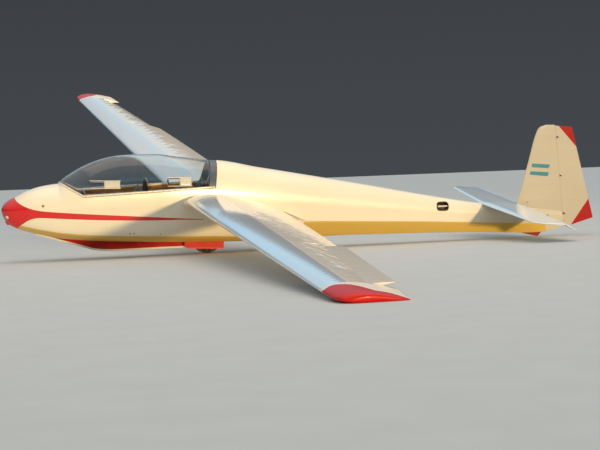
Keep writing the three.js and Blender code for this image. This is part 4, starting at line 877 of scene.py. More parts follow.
reach = np.unique(np.concatenate([np.linspace(0, 1.45, 70), 1.45 + 0.088 * np.linspace(0, 1, 12),
                                  1.538 + 0.012 * np.linspace(0, 1, 9)]))
tail_y = np.concatenate([-reach[:0:-1], reach])
rings, share = tail_rings(tail_y)
piece("tailplane_skin", [(rings, True, (0, -1))], tail_cool_shade_finish, "airframe", ["tailplane"],
      stack_marks([tail_marks(tail_y[:, None], share)]), merge=1e-5)
for side, sign in SIDES:
    y = np.concatenate([np.linspace(TAIL["inner"], TAIL["half"] - 0.03, 64),
                        TAIL["half"] - 0.03 * np.linspace(1, 0, 10)[1:] ** 2])
    t = y / TAIL["half"]
    centre = np.stack([np.full(len(y), TAIL["hinge"][0]), sign * y, np.full(len(y), TAIL["hinge"][1])], 1)
    corner = np.clip((y - TAIL["half"]) / 0.03 + 1, 0, 1) ** 2
    bay = np.mod(y / TAIL["ribs"], 1)
    nose = TAIL["nose"][0] + (TAIL["nose"][1] - TAIL["nose"][0]) * t
    chord = TAIL["elevator"][0] + (TAIL["elevator"][1] - TAIL["elevator"][0]) * t - 0.03 * corner
    rings, share = flap_rings(centre, nose * (1 - 0.3 * corner), chord, 0 * y, (0, 0, 1), bulge=0.05,
                              ribs=0.0006 * 4 * bay * (1 - bay))
    rings = hinged(rings, np.array([TAIL["hinge"][0], 0, TAIL["hinge"][1]]), np.array([0, 1.0, 0]), TAIL["rest"])
    piece(f"elevator_{side}_skin", [(rings, True, (0, -1))], tail_cool_shade_finish, "elevator",
          [f"elevator_{side}"],
          stack_marks([tail_marks(y[:, None], 0.9 + 0 * share[None])]), merge=1e-5)

# Fin and rudder. Fabric over spruce ribs that run level, painted with the fuselage. The fin carries two sky-blue bars
# with a gold dot between them, and the rudder has red corners. Their ivory and red are darker: painted shade.
NOSE = (0.030, 0.016)  # half thickness at the post, at its foot and head
FIN_LEAD = np.array([(0.400, 6.830), (0.500, 6.854), (0.604, 6.880), (1.100, 7.006), (1.552, 7.120), (1.600, 7.160),
                     (1.629, 7.240)])
FIN_SECTION = np.array([(0, 0), (0.03, 0.4), (0.15, 0.75), (0.45, 1.0), (1.0, 0.9)])
FIN_SECTION[:, 0] **= 0.5
BARS = ([(7.065, 1.109), (7.325, 1.092), (7.303, 1.042), (7.055, 1.059)],
        [(7.048, 1.004), (7.312, 0.987), (7.297, 0.932), (7.035, 0.957)])
RUDDER_REDS = ([(7.400, 1.640), (7.640, 1.640), (7.706, 1.325)],
               [(7.92, 0.614), (8.20, 0.614), (8.20, 0.20), (7.6, 0.20), (7.670, 0.259)])
LUG_LEVELS, SLOT = (0.420, 0.940, 1.470), 0.015
RIB_LEVELS = np.array([0.62, 0.84, 1.06, 1.28, 1.50])


def post_nose(z):
    """Half thickness of the fin and rudder at the post."""
    return NOSE[0] + (NOSE[1] - NOSE[0]) * (z - POST[0, 1]) / (POST[1, 1] - POST[0, 1])


def bars_and_dot(points):
    """Depth in the blue bars, and in the gold dot between them, a disc 24 mm across."""
    side_view = points[..., ::2]
    blue = np.maximum(*[depth_in(side_view, np.array(bar)) for bar in BARS])
    return blue, 0.012 - np.hypot(side_view[..., 0] - 7.180, side_view[..., 1] - 1.024)


def level_sag(z, aft_by):
    """Depth of the fabric between level ribs, a parabola 2 mm deep, which fades towards the nose and the post."""
    bay = np.mod((z - 0.62) / 0.22, 1)
    return 0.002 * 4 * bay * (1 - bay) * np.sin(np.pi * np.clip(aft_by, 0, 1)) ** 0.7


# Side surfaces in the same gloss, with the ribs' tapes under it; the ivory and the red are darkened as painted shade
fin_shaded_finish, tree, main = new_finish("two_pack_on_fabric_painted_shade", Roughness=0.5, IOR=1.5, Specular_IOR_Level=0.2,
                                    Coat_Weight=0.08, Coat_Roughness=0.2)
here = node(tree, "ShaderNodeTexCoord").outputs["Object"]
tint = between(tree, drawn(tree, here, "Noise", Scale=2.0, Detail=3.0), "#bdb29e", "#c7bcaa")
paint = masked(tree, tint, ("blue", "#3f8796"), ("gold", GOLD), ("red", "#a8130c"))
tree.links.new(paint, main.inputs["Base Color"])
weave = drawn(tree, here, "Noise", Scale=220.0, Detail=1.0)
raised(tree, main, (tapes(tree, 0.016), 0.5, 0.0006), (weave, 0.05, 0.001))

fin_z = np.unique(np.concatenate([np.linspace(0.44, 1.58, 110), 1.58
                                  + 0.049 * np.sin(np.linspace(0, np.pi / 2, 14))]))
lead = fair(FIN_LEAD, fin_z)[:, :1]
z = fin_z[:, None]
half = post_nose(z) * 1.1 * np.sqrt(1 - np.clip((z - 1.610) / 0.0193, 0, 0.97) ** 2)
radius = post_nose(z) + COVE_GAP
lip = 1 - 0.012 / (post_x(z) - lead)
share = np.concatenate([np.linspace(1, 0, 44) ** 2, np.linspace(0, 1, 44)[1:] ** 2])[None] * lip
sense = np.where(np.arange(87) < 44, 1, -1)
thick = fair(FIN_SECTION, np.sqrt(share).reshape(-1))[:, 0].reshape(share.shape)
y = sense * (half * thick - level_sag(z, share) * (half > 0.01))
x = lead + share * (post_x(z) - lead)
hollow = np.linspace(1, -1, 11)[None] * np.minimum(np.abs(y[:, -1:]) - 0.001, radius * 0.98)
x = np.concatenate([x, post_x(z) - np.sqrt(radius ** 2 - hollow ** 2)], 1)
y = np.concatenate([y, hollow], 1)
rings = grid(x, y, z)
blue, dot = bars_and_dot(rings)
blue[:, 87:], dot[:, 87:] = -1, -1
rib_far = np.abs(rings[..., 2:] - RIB_LEVELS).min(-1)
piece("fin_skin", [(rings, True, (0, -1))], fin_shaded_finish, "airframe", ["fin"],
      {"blue": [blue], "gold": [dot], "red": [-1 + 0 * blue], "rib": [rib_far]}, merge=1e-5)

# The rudder's rows follow its sloping foot and head, and its nose is cut away at the three hinge lugs
lugs = np.array([level + step for level in LUG_LEVELS for step in (-SLOT - 0.0004, -SLOT, SLOT, SLOT + 0.0004)])
rows = np.sort(np.concatenate([np.linspace(0.259, 1.622, 120), lugs]))
along = (rows - 0.259) / (1.622 - 0.259)
back = np.concatenate([np.linspace(1, 0, 40), np.zeros(15), np.linspace(0, 1, 40)])
turn = np.concatenate([np.full(40, 0.5 * np.pi), np.linspace(0.5 * np.pi, 1.5 * np.pi, 15), np.full(40, 1.5 * np.pi)])
z = np.repeat(rows[:, None], len(back), 1)
for _ in range(6):
    trail_x = 8.000 + (z - 0.352) * (7.620 - 8.000) / (1.600 - 0.352)
    nose = post_nose(z)
    round_nose = (np.arange(len(back)) >= 40) & (np.arange(len(back)) < 55)
    x = post_x(z) + np.where(round_nose, nose * np.cos(turn), back * (trail_x - post_x(z)))
    foot = np.where(x < 7.670, 0.259, 0.259 + (x - 7.670) * 0.0985 / 0.350)
    top = 1.622 + (x - 7.300) * (1.598 - 1.622) / 0.340
    z = rows[:, None] + (foot - 0.259) * (1 - along[:, None]) ** 3 + (top - 1.622) * along[:, None] ** 3
bay_depth = level_sag(z, back[None])
y = np.where(round_nose, nose * np.sin(turn), np.sign(np.sin(turn))
             * (nose * (1 - back) * (1 + 0.25 * back) + TRAIL / 2 * back - bay_depth))
cut = (np.abs(rows[:, None] - np.array(LUG_LEVELS)).min(1) <= SLOT)[:, None]
x = np.where(cut, np.maximum(x, post_x(z) + 0.022), x)
rings = np.stack([x, y, z], -1)
reds = np.maximum(*[depth_in(rings[..., ::2], np.array(corner)) for corner in RUDDER_REDS])
rib_far = np.abs(rings[..., 2:] - RIB_LEVELS).min(-1)
piece("rudder_skin", [(rings, True, (0, -1))], fin_shaded_finish, "rudder", ["rudder"],
      {"blue": [-1 + 0 * reds], "gold": [-1 + 0 * reds], "red": [reds], "rib": [rib_far]}, merge=1e-6)

# Canopy glass. One bubble of 4 mm blown acrylic, faintly grey, from the rail along the sill to the hoop at the back.
# A window for air is cut in its port side beside each pilot.
RAIL_FOOT, RAIL_HEAD, HOOP_WIDTH = 0.005, 0.025, 0.085
VENTS = {"open": ((1.080, 1.250), (2.058, 2.206)), "low": ((1.25, 0.914), (2.058, 0.930)),
         "high": ((1.25, 0.968), (2.058, 1.008))}


def lean(x, z, start=2.30):
    """How far aft a row has leant at height z: not at all forward of the start, and by the hoop's lean at its rear
    edge."""
    share = np.clip((x - start) / (2.574 - start), 0, 1)
    return HOOP_LEAN * share * (z - SILL[-1, 1])


def over_hull(x, turn, leans=True, out=0.0, start=2.30):
    """Points of the cockpit's upper shell: an ellipse quarter on each side from the shoulder, turn 0 to port, through
    the crown, turn pi / 2, to starboard, turn pi. Rows behind the start lean aft as the hoop does."""
    x, turn = np.broadcast_arrays(np.asarray(x, float)[:, None], turn)
    place = x
    for _ in range(5 if leans else 1):
        flat = place.reshape(-1)
        top = hull_top(np.clip(flat, 0.7005, 2.6715)).reshape(x.shape)
        shoulder, half = (column.reshape(x.shape) for column in fair(STATION, flat)[:, 6:8].T)
        z = shoulder + (top - shoulder + out) * np.sin(turn)
        place = x + lean(x, z, start) if leans else x
    return np.stack([place, -(half + out) * np.cos(turn), z], -1)


def turn_at(x, z):
    """The turn at which the shell is at height z, from the port side."""
    shape = fair(STATION, x)
    return np.arcsin(np.clip((z - shape[:, 6]) / (hull_top(x) - shape[:, 6]), 0, 1))


def sill_line(x):
    """Height of the sill."""
    return np.interp(x, SILL[:, 0], SILL[:, 1])


glass_x = np.unique(np.concatenate([0.7245 + 0.06 * np.linspace(0, 1, 12) ** 1.5, np.linspace(0.79, 1.08, 20),
                                    np.linspace(1.08, 1.25, 9),
                                    np.linspace(1.25, 2.058, 40), np.linspace(2.058, 2.206, 8),
                                    np.linspace(2.206, 2.574, 22)]))
foot = turn_at(glass_x, sill_line(glass_x) + RAIL_HEAD)
low = turn_at(glass_x, np.interp(glass_x, *np.transpose(VENTS["low"])))
high = turn_at(glass_x, np.interp(glass_x, *np.transpose(VENTS["high"])))
low = np.maximum(low, foot + (np.pi / 2 - foot) * 0.04)
high = np.maximum(high, low + (np.pi / 2 - low) * 0.04)
legs = [(foot, low, 8), (low, high, 5), (high, np.full(len(glass_x), np.pi / 2), 26)]
port = np.concatenate([start[:, None] + (end - start)[:, None] * np.arange(count) / count for start, end,
                       count in legs], 1)
turn = np.concatenate([port, np.full((len(glass_x), 1), np.pi / 2), np.pi - port[:, ::-1]], 1)
bubble = over_hull(glass_x, turn)
cells_x = (glass_x[1:] + glass_x[:-1]) / 2
column = np.arange(turn.shape[1] - 1)
windows = sum((cells_x > start) & (cells_x < end) for start, end in VENTS["open"]).astype(bool)
open_window = windows[:, None] & ((column >= 8) & (column < 13))[None]
# Blown acrylic: clear, faintly grey, with soft long ripples from the blowing and fine polishing haze
acrylic = two_tone("blown_acrylic", ("#eef3f3", "#f6f9f9"), dict(kind="Noise", Scale=5.0, Detail=3.0),
                   (0.012, 0.02, dict(kind="Noise", Scale=2.5, Detail=1.0)), Roughness=0.03, IOR=1.49,
                   Transmission_Weight=1.0)
piece("canopy_bubble", [(bubble, False, (), open_window)], acrylic, "canopy",
      ["canopy_glass_front", "canopy_glass_rear"], wall=0.004)

# The two sliding panes, each behind its window, in a thin bright channel at foot and head. Their pale, warm,
# half-clear finish that scatters the light is a painted glint, standing in for the sun's reflection in the panes.
pane_glint_acrylic = two_tone("pale_acrylic_painted_glint", ("#efe6cf", "#fdf8ea"), dict(kind="Noise", Scale=60.0, Detail=4.0),
                   Roughness=0.22, IOR=1.49, Transmission_Weight=0.42)
panes, channels = [], []
for name, (start, end), (foot_z, head_z) in (("front", (1.244, 1.444), (0.906, 0.990)),
                                             ("rear", (2.200, 2.350), (0.922, 1.018))):
    x = np.linspace(start, end, 12)
    foot, head = turn_at(x, np.full(12, foot_z)), turn_at(x, np.full(12, head_z))
    pane = over_hull(x, foot[:, None] + (head - foot)[:, None] * np.linspace(0, 1, 6), leans=False, out=0.0048)
    piece(f"vent_pane_{name}_sheet", [(pane, False, ())], pane_glint_acrylic, "canopy", [f"vent_pane_{name}"],
          wall=0.004)
    window = VENTS["open"][0 if name == "front" else 1]
    x = np.linspace(window[0] - 0.012, end + 0.008, 20)
    for level, lift in ((foot_z, -0.003), (head_z, 0.003)):
        turn = turn_at(x, np.full(20, level + lift))
        channels.append((tube(over_hull(x, turn[:, None], leans=False, out=0.004)[:, 0], 0.0045, 8), True, (0, -1)))
rail_finish = two_tone("cream_enamel", ("#d8cfb8", "#efe8d6"), dict(kind="Noise", Scale=30.0, Detail=3.0),
                       (0.08, 0.001), Roughness=0.35, IOR=1.5, Coat_Weight=0.3)
piece("vent_channels", channels, rail_finish, "canopy")

# Canopy frame. A bent steel tube rail round the sill, faired and painted cream, with a screw every 70 mm, and a wide
# hoop at the back, painted slate grey inside its cream edge.
rail_x = np.unique(np.concatenate([0.706 + 0.03 * np.linspace(0, 1, 12) ** 1.5, np.linspace(0.74, 1.02, 30),
                                   np.linspace(1.02, 2.655, 70)]))
foot, head = (turn_at(rail_x, sill_line(rail_x) + lift) for lift in (RAIL_FOOT, RAIL_HEAD))
rails = []
for mirror in (False, True):
    turn = foot[:, None] + (head - foot)[:, None] * np.linspace(0, 1, 5)
    bulge = 0.0015 * np.sin(np.linspace(0, np.pi, 5))
    outer = over_hull(rail_x, np.pi - turn if mirror else turn, leans=False, out=bulge)
    inner = over_hull(rail_x, np.pi - turn[:, ::-1] if mirror else turn[:, ::-1], leans=False, out=-0.012)
    rails.append((np.concatenate([outer, inner], 1), True, (0, -1)))
piece("canopy_rail_tube", rails, rail_finish, "canopy", ["canopy_frame"])
hoop_x = 2.574 + HOOP_WIDTH * np.array([0, 0.04, 0.08, 0.2, 0.4, 0.6, 0.8, 0.92, 0.96, 1.0])
across = np.linspace(0, 1, 90)
foot = turn_at(hoop_x, sill_line(hoop_x) + RAIL_FOOT)
hoop = over_hull(hoop_x, foot[:, None] + (np.pi - 2 * foot)[:, None] * across, out=0.0008)
slate = two_tone("slate_enamel", ("#3c4349", "#596168"), dict(kind="Noise", Scale=12.0, Detail=3.0), (0.05, 0.001),
                 Roughness=0.3, IOR=1.5, Coat_Weight=0.4)
piece("canopy_hoop", [(hoop, False, ())], slate, "canopy", ["canopy_frame"], wall=0.010)

# Seats. Each is a bent plywood shell with a stuffed leather cushion on the pan and another on the back, sewn across
# in
# channels and piped round the edge. They carry four webbing belts that meet at a steel buckle.
SEATS = {"front": (1.130, 0.395, 1.500, (1.720, 0.870)), "rear": (1.990, 0.505, 2.335, (2.545, 0.960))}
SEAT_HALF, PAD_THICK = 0.195, 0.046


def on_line(path, along):
    """Points a share of the way along a path in side view, with the path's normal there, turned to its upper left."""
    leg = np.linalg.norm(np.diff(path, axis=0), axis=1)
    run = np.concatenate([[0], np.cumsum(leg)])
    at = along * run[-1]
    place = np.stack([np.interp(at, run, path[:, 0]), np.interp(at, run, path[:, 1])], -1)
    step = np.interp(at + 0.004, run, path[:, 0]) - np.interp(at - 0.004, run, path[:, 0])
    rise = np.interp(at + 0.004, run, path[:, 1]) - np.interp(at - 0.004, run, path[:, 1])
    return place, np.stack([-rise, step], -1) / np.hypot(step, rise)[..., None]


def pad_rings(path, half, thick, shrink=0.0):
    """A crowned pad on a path: rings across it, each a rounded oblong loop of the path's length and the pad's
    thickness. Its ends close by the same law, and its top lies on the path."""
    y = np.sin(np.linspace(-np.pi / 2, np.pi / 2, 30)) * (half - shrink)
    end = (1 - np.minimum(np.abs(y / (half - shrink)), 0.999) ** 5) ** 0.2
    loop = np.arange(56) * 2 * np.pi / 56
    along = 0.5 + (0.5 - shrink) * np.sign(np.cos(loop)) * np.abs(np.cos(loop)) ** 0.4 * (0.90 + 0.10 * end[:, None])
    up_by = thick / 2 * (np.sign(np.sin(loop)) * np.abs(np.sin(loop)) ** 0.8 * end[:, None] - 1)
    place, normal = on_line(path, along)
    flat = place + normal * up_by[..., None]
    return np.stack([flat[..., 0], np.broadcast_to(y[:, None], flat.shape[:2]), flat[..., 1]], -1)


def stuffed(thing, cap):
    """Fills a pad as its maker does: an even voxel skin, twenty steps of cloth under pressure, each point kept within
    the cap of where it started, and the result made the pad's own mesh."""
    skin = thing.modifiers.new("voxels", "REMESH")
    skin.mode, skin.voxel_size = "VOXEL", 0.006
    held = bpy.data.meshes.new_from_object(thing.evaluated_get(bpy.context.evaluated_depsgraph_get()))
    thing.modifiers.clear()
    materials = list(thing.data.materials)
    thing.data = held
    start = np.empty(len(held.vertices) * 3, np.float32)
    held.vertices.foreach_get("co", start)
    cloth = thing.modifiers.new("stuffing", "CLOTH")
    cloth.settings.use_pressure = True
    cloth.settings.uniform_pressure_force = 4
    cloth.settings.effector_weights.gravity = 0
    for step in range(1, 21):
        bpy.context.scene.frame_set(step)
    blown = bpy.data.meshes.new_from_object(thing.evaluated_get(bpy.context.evaluated_depsgraph_get()))
    end = np.empty(len(blown.vertices) * 3, np.float32)
    blown.vertices.foreach_get("co", end)
    thing.modifiers.clear()
    bpy.context.scene.frame_set(1)
    move = (end - start).reshape(-1, 3)
    far = np.maximum(np.linalg.norm(move, axis=1), 1e-9)[:, None]
    start = (start.reshape(-1, 3) + move * np.minimum(1, cap / far)).reshape(-1)
    held.vertices.foreach_set("co", start)
    held.materials.clear()
    for material in materials:
        held.materials.append(material)
    held.shade_smooth()


def level_of(points):
    """The level points that parked() carries to these: its turn is undone by its own transpose."""
    return (points - axle) @ np.array([aft, starboard, up]).T + LEVEL_AXLE


# Brown leather over wadding: a pebbled grain, paler where it is rubbed, and a soft low shine
seat_finish = two_tone("brown_hide", ("#2e1c14", "#5b3a28"), dict(kind="Noise", Scale=9.0, Detail=4.0),
                       (0.35, 0.0015, dict(kind="Voronoi", Scale=320.0)), Roughness=0.55, IOR=1.5, Sheen_Weight=0.1)
# Cotton webbing: a grey-green twill, ribbed every 2 mm across
twill = dict(kind="Wave", Scale=80.0, Distortion=0.5, bands_direction="DIAGONAL")
web_finish = two_tone("cotton_webbing", ("#5d5f4a", "#77795f"), twill, (0.4, 0.001), Roughness=0.85, Sheen_Weight=0.3)
# Brushed and dulled steel, for buckles, lugs, pins and shoes
steel_finish = two_tone("dull_steel", ("#6f7376", "#9a9ea1"), dict(kind="Noise", Scale=4.0, Detail=4.0),
                        rough=(0.3, 0.5), stretch=(8.0, 120.0, 120.0), Metallic=1.0, Roughness=0.38)


def strap(path, half, way=(0, 1, 0)):
    """A flat strap: the path, with points half its width either side of it along the way."""
    path = np.asarray(path, float)
    side = np.asarray(way, float) / np.linalg.norm(way)
    return path[:, None] + side * np.linspace(-half, half, 5)[:, None]


def smooth_path(knots, count):
    """Points of a fair curve through knots: cubic pieces with the slopes of the chords between each knot's
    neighbours."""
    knots = np.asarray(knots, float)
    slope = np.gradient(knots, axis=0)
    t = np.linspace(0, len(knots) - 1, count)
    i = np.minimum(t.astype(int), len(knots) - 2)
    u = (t - i)[:, None]
    return (knots[i] * (1 + 2 * u) * (1 - u) ** 2 + knots[i + 1] * u * u * (3 - 2 * u)
            + slope[i] * u * (1 - u) ** 2 - slope[i + 1] * u * u * (1 - u))


for name, (front, pan, foot, head) in SEATS.items():
    pan_path = smooth_path([(front + 0.012, pan - 0.004), (front + 0.060, pan + 0.012), (foot - 0.060, pan - 0.036),
                            (foot - 0.012, pan - 0.016)], 24)
    toe = np.array([foot, pan - 0.010]) + (np.array(head) - (foot, pan - 0.010)) * 0.10
    back_path = smooth_path([toe, toe + (np.array(head) - toe) * 0.5 + (-0.010, 0.006),
                             np.array(head) - (0.006, 0.006)], 24)
    for part, path, channels in (("pan", pan_path, 3), ("back", back_path, 5)):
        pad = pad_rings(path, SEAT_HALF, PAD_THICK, 0.004)
        cushion = piece(f"{name}_{part}_cushion", [(pad, True, (0, -1))], seat_finish, "airframe",
                        [f"{name}_seat"], merge=1e-4)
        stuffed(cushion, 0.008)
        co = np.empty(len(cushion.data.vertices) * 3, np.float32)
        cushion.data.vertices.foreach_get("co", co)
        level = level_of(co.reshape(-1, 3).astype(float))
        length = np.linalg.norm(path[-1] - path[0])
        along = ((level[:, ::2] - path[0]) @ (path[-1] - path[0])) / length ** 2
        seams = np.abs(along[:, None] - np.arange(1, channels + 1) / (channels + 1)).min(1) * length
        mid, normal = on_line(path, np.clip(along, 0, 1))
        on_top = np.einsum("ij,ij->i", level[:, ::2] - mid, normal) > -0.5 * PAD_THICK
        depth = 0.006 * np.exp(-(seams / 0.006) ** 2) * on_top
        level[:, ::2] -= normal * depth[:, None]
        cushion.data.vertices.foreach_set("co", parked(level).astype(np.float32).reshape(-1))
        rounder = cushion.modifiers.new("rounder", "SUBSURF")
        rounder.levels = rounder.render_levels = 1
    # The shell under them: 6 mm ply, bent up at the sides, with a rolled front edge
    small_of_back = np.array(head) * 0.5 + np.array((foot, pan - 0.010)) * 0.5 + (0.046, -0.028)
    shell = smooth_path([(front + 0.006, pan - 0.16), (front + 0.006, pan - 0.060), (front + 0.050, pan - 0.042),
                         (foot - 0.060, pan - 0.088), (foot + 0.004, pan - 0.058), small_of_back,
                         np.array(head) + (0.022, 0.0)], 60)
    y = np.linspace(-1, 1, 21)
    lift = 0.018 * np.abs(y) ** 4
    sheet = grid(shell[:, None, 0] - lift * 0.5, SEAT_HALF * 1.03 * y, shell[:, None, 1] + lift * 0.8)
    piece(f"{name}_seat_shell", [(sheet, False, ())], ply_finish, "airframe", wall=0.006)
    hip = np.array([foot - 0.035, 0, pan + 0.020])
    shoulder_y = 0.075
    belts = []
    for side in (-1, 1):
        over = [(head[0] + 0.020, side * shoulder_y, head[1] - 0.03),
                (head[0] + 0.006, side * shoulder_y, head[1] + 0.014),
                (head[0] - 0.040, side * shoulder_y, head[1] - 0.060),
                (foot * 0.55 + head[0] * 0.45 - 0.028, side * 0.060, pan * 0.5 + head[1] * 0.5 + 0.008),
                (hip[0] + 0.010, side * 0.030, hip[2] + 0.060), (hip[0] - 0.010, side * 0.018, hip[2] + 0.012)]
        belts.append((strap(smooth_path(over, 40), 0.022), False, ()))
        lap = [(foot - 0.020, side * (SEAT_HALF + 0.006), pan - 0.050),
               (foot - 0.040, side * (SEAT_HALF - 0.004), pan + 0.004),
               (foot - 0.060, side * 0.120, pan + 0.012), (hip[0] - 0.014, side * 0.020, hip[2] + 0.004)]
        belts.append((strap(smooth_path(lap, 30), 0.022, (0.9, 0.1 * side, 0.3)), False, ()))
    piece(f"{name}_belts", belts, web_finish, "airframe", wall=0.0022)
    disc = np.linspace(0, 1, 9)
    radius = 0.030 * np.concatenate([disc, [1.0, 0.96, 0.0]])
    height = np.concatenate([0.010 + 0.004 * np.sqrt(1 - disc ** 2), [0.002, 0.0, 0.0]])
    ring = np.arange(32) * 2 * np.pi / 32
    buckle = hip + (-0.012, 0, 0.004) + grid(radius[:, None] * np.cos(ring), radius[:, None] * np.sin(ring),
                                             height[:, None])
    piece(f"{name}_buckle", [(buckle, True, ())], steel_finish, "airframe")

# Instrument panels. A round-headed plywood board on a cross beam, sprayed crackle black. Five round instruments with
# plain printed scales stand in two rows on each.
cracks = dict(kind="Voronoi", Scale=500.0, feature="DISTANCE_TO_EDGE")
crackle = two_tone("crackle_black", ("#121314", "#26282a"), cracks, (0.5, 0.0008), Roughness=0.5, IOR=1.5)
# Dial faces: matt black with a white scale, drawn by the angle and the radius that the vertices carry
dial_finish, tree, main = new_finish("printed_dial", Roughness=0.4, IOR=1.5, Coat_Weight=1.0, Coat_Roughness=0.02)
turned, out_by = (node(tree, "ShaderNodeAttribute", attribute_name=mark).outputs["Fac"]
                  for mark in ("turned", "out_by"))


def worked(operation, *values):
    """One step of arithmetic on the dial's marks."""
    return node(tree, "ShaderNodeMath", dict(enumerate(values)), operation=operation).outputs[0]


thin = worked("LESS_THAN", worked("FRACT", worked("MULTIPLY", turned, 20.0)), 0.16)
tick = worked("MULTIPLY", thin, worked("COMPARE", out_by, 0.82, 0.10))
tree.links.new(between(tree, tick, "#15171a", "#e9e6da"), main.inputs["Base Color"])
# At x, with the beam's foot and head, the board's top and its half width
PANELS = {"front": (1.010, 0.620, 0.700, 0.838, 0.215), "rear": (1.800, 0.700, 0.780, 0.985, 0.190)}
for name, (x, beam_foot, beam_head, top, half) in PANELS.items():
    sweep = np.linspace(0, np.pi, 41)
    arch_y, arch_z = half * np.cos(sweep), top - 0.090 + 0.090 * np.sin(sweep)
    reach = float(ellipse_side(np.array([x]), np.array([beam_foot + 0.03]), WALL)[0]) - 0.002
    beam = [(-half, beam_head + 0.012), (-reach, beam_head), (-reach + 0.004, beam_foot),
            (reach - 0.004, beam_foot), (reach, beam_head), (half, beam_head + 0.012)]
    outline = np.concatenate([np.stack([arch_y, arch_z], 1), beam])
    centre = np.array([0, beam_head])
    rows = []
    for inset, at in ((0.0035, 0.0), (0.001, 0.0008), (0, 0.003), (0, 0.011), (0.001, 0.0132), (0.0035, 0.014)):
        flat = centre + (outline - centre) * (1 - inset / 0.15)
        rows.append(np.stack([np.full(len(flat), x + at), flat[:, 0], flat[:, 1]], 1))
    piece(f"{name}_panel_board", [(np.array(rows), True, (0, -1))], crackle, "airframe",
          [f"{name}_panel"], crease=60)
    bead = np.stack([np.full(41, x + 0.007), arch_y * 1.005, arch_z + 0.001], 1)
    piece(f"{name}_panel_bead", [(tube(bead, 0.0085, 12, flatten=0.6), True, (0, -1))], ash_finish, "airframe")
    bezels, faces, marks_r, marks_t, hands = [], [], [], [], []
    spin = np.arange(49) * 2 * np.pi / 48
    for k, (y, z, radius) in enumerate([(-0.105, top - 0.075, 0.040), (0.0, top - 0.052, 0.040),
                                        (0.105, top - 0.075, 0.040), (-0.052, beam_head - 0.030, 0.031),
                                        (0.052, beam_head - 0.030, 0.031)]):
        profile = np.array([(1.00, 0.000), (1.02, 0.004), (0.99, 0.007), (0.90, 0.0075), (0.86, 0.004),
                            (0.86, 0.0005)])
        ring = grid(x + 0.014 + profile[:, None, 1], y + radius * profile[:, None, 0] * np.cos(spin[:-1]),
                    z + radius * profile[:, None, 0] * np.sin(spin[:-1]))
        bezels.append((ring, True, ()))
        out = np.array([0.02, 0.3, 0.6, 0.7, 0.75, 0.93, 1.0])
        face = grid(x + 0.0155, y + 0.87 * radius * out[:, None] * np.cos(spin),
                    z + 0.87 * radius * out[:, None] * np.sin(spin))
        faces.append((face, False, ()))
        marks_r.append(np.broadcast_to(out[:, None], (7, 49)))
        marks_t.append(np.broadcast_to(spin / (2 * np.pi), (7, 49)))
        aim = np.radians((210, 135, 95, 180, 60)[k])
        long, wide = 0.66 * radius, 0.0022
        run = np.array([-0.25, 0.0, 0.5, 0.8, 1.0])[:, None] * long
        spread = np.array([0.6, 1.0, 0.8, 0.5, 0.05])[:, None] * wide * np.array([-1, 0, 1])
        hands.append((np.stack([x + 0.0175 + 0 * spread + 0.0004 * (spread == 0),
                                y + run * np.cos(aim) - spread * np.sin(aim),
                                z + run * np.sin(aim) + spread * np.cos(aim)], -1), False, ()))
    piece(f"{name}_dial_bezels", bezels, crackle, "airframe")
    piece(f"{name}_dial_faces", faces, dial_finish, "airframe",
          marks={"out_by": marks_r, "turned": marks_t}, merge=1e-7)
    piece(f"{name}_dial_hands", hands, rail_finish, "airframe", wall=0.0005)

# Sticks. A steel tube with a ribbed rubber grip, which comes out of the floor through a gathered leather boot.
rubber_finish = two_tone("moulded_rubber", ("#151515", "#3a3632"), dict(kind="Noise", Scale=14.0, Detail=5.0),
                         (0.2, 0.001, dict(kind="Noise", Scale=350.0, Detail=2.0)), Roughness=0.7, IOR=1.5)
STICKS = (("front", 1.085, 0.620), ("rear", 1.930, 0.700))  # at x, with the head's height
FLOOR_LINE = ([0.520, 1.130, 2.340], [0.384, 0.310, 0.272])
for name, x, head in STICKS:
    floor_z = float(np.interp(x, *FLOOR_LINE)) + 0.010
    low, high = np.array([x + 0.004, 0, floor_z + 0.04]), np.array([x + 0.030, 0, head - 0.110])
    post_path = low + (high - low) * np.linspace(0, 1, 12)[:, None]
    piece(f"{name}_stick_tube", [(tube(post_path, 0.011, 20), True, (0, -1))], steel_finish, "airframe",
          [f"{name}_stick"])
    t = np.linspace(0, 1, 60)
    grip_path = np.array([x + 0.029, 0, head - 0.118]) + np.array([0.013, 0, 0.118]) * t[:, None]
    ribs = 0.0155 + 0.0012 * np.sin(t * 2 * np.pi * 9) - 0.003 * np.exp(-((t - 0.1) / 0.06) ** 2)
    ribs *= np.sqrt(1 - np.clip((t - 0.9) / 0.1, 0, 0.985) ** 2) * np.clip(t / 0.02 + 0.7, 0, 1)
    piece(f"{name}_stick_grip", [(tube(grip_path, ribs, 24), True, (0, -1))], rubber_finish, "airframe")
    t = np.linspace(0, 1, 40)
    boot_path = np.array([x, 0, floor_z]) + np.array([0.008, 0, 0.385 - floor_z]) * t[:, None]
    spread = 0.033 - 0.020 * t ** 0.8 + 0.0022 * np.sin(t * 2 * np.pi * 5)
    piece(f"{name}_stick_boot", [(tube(boot_path, spread, 28), True, (0, -1))], leather_finish, "airframe")

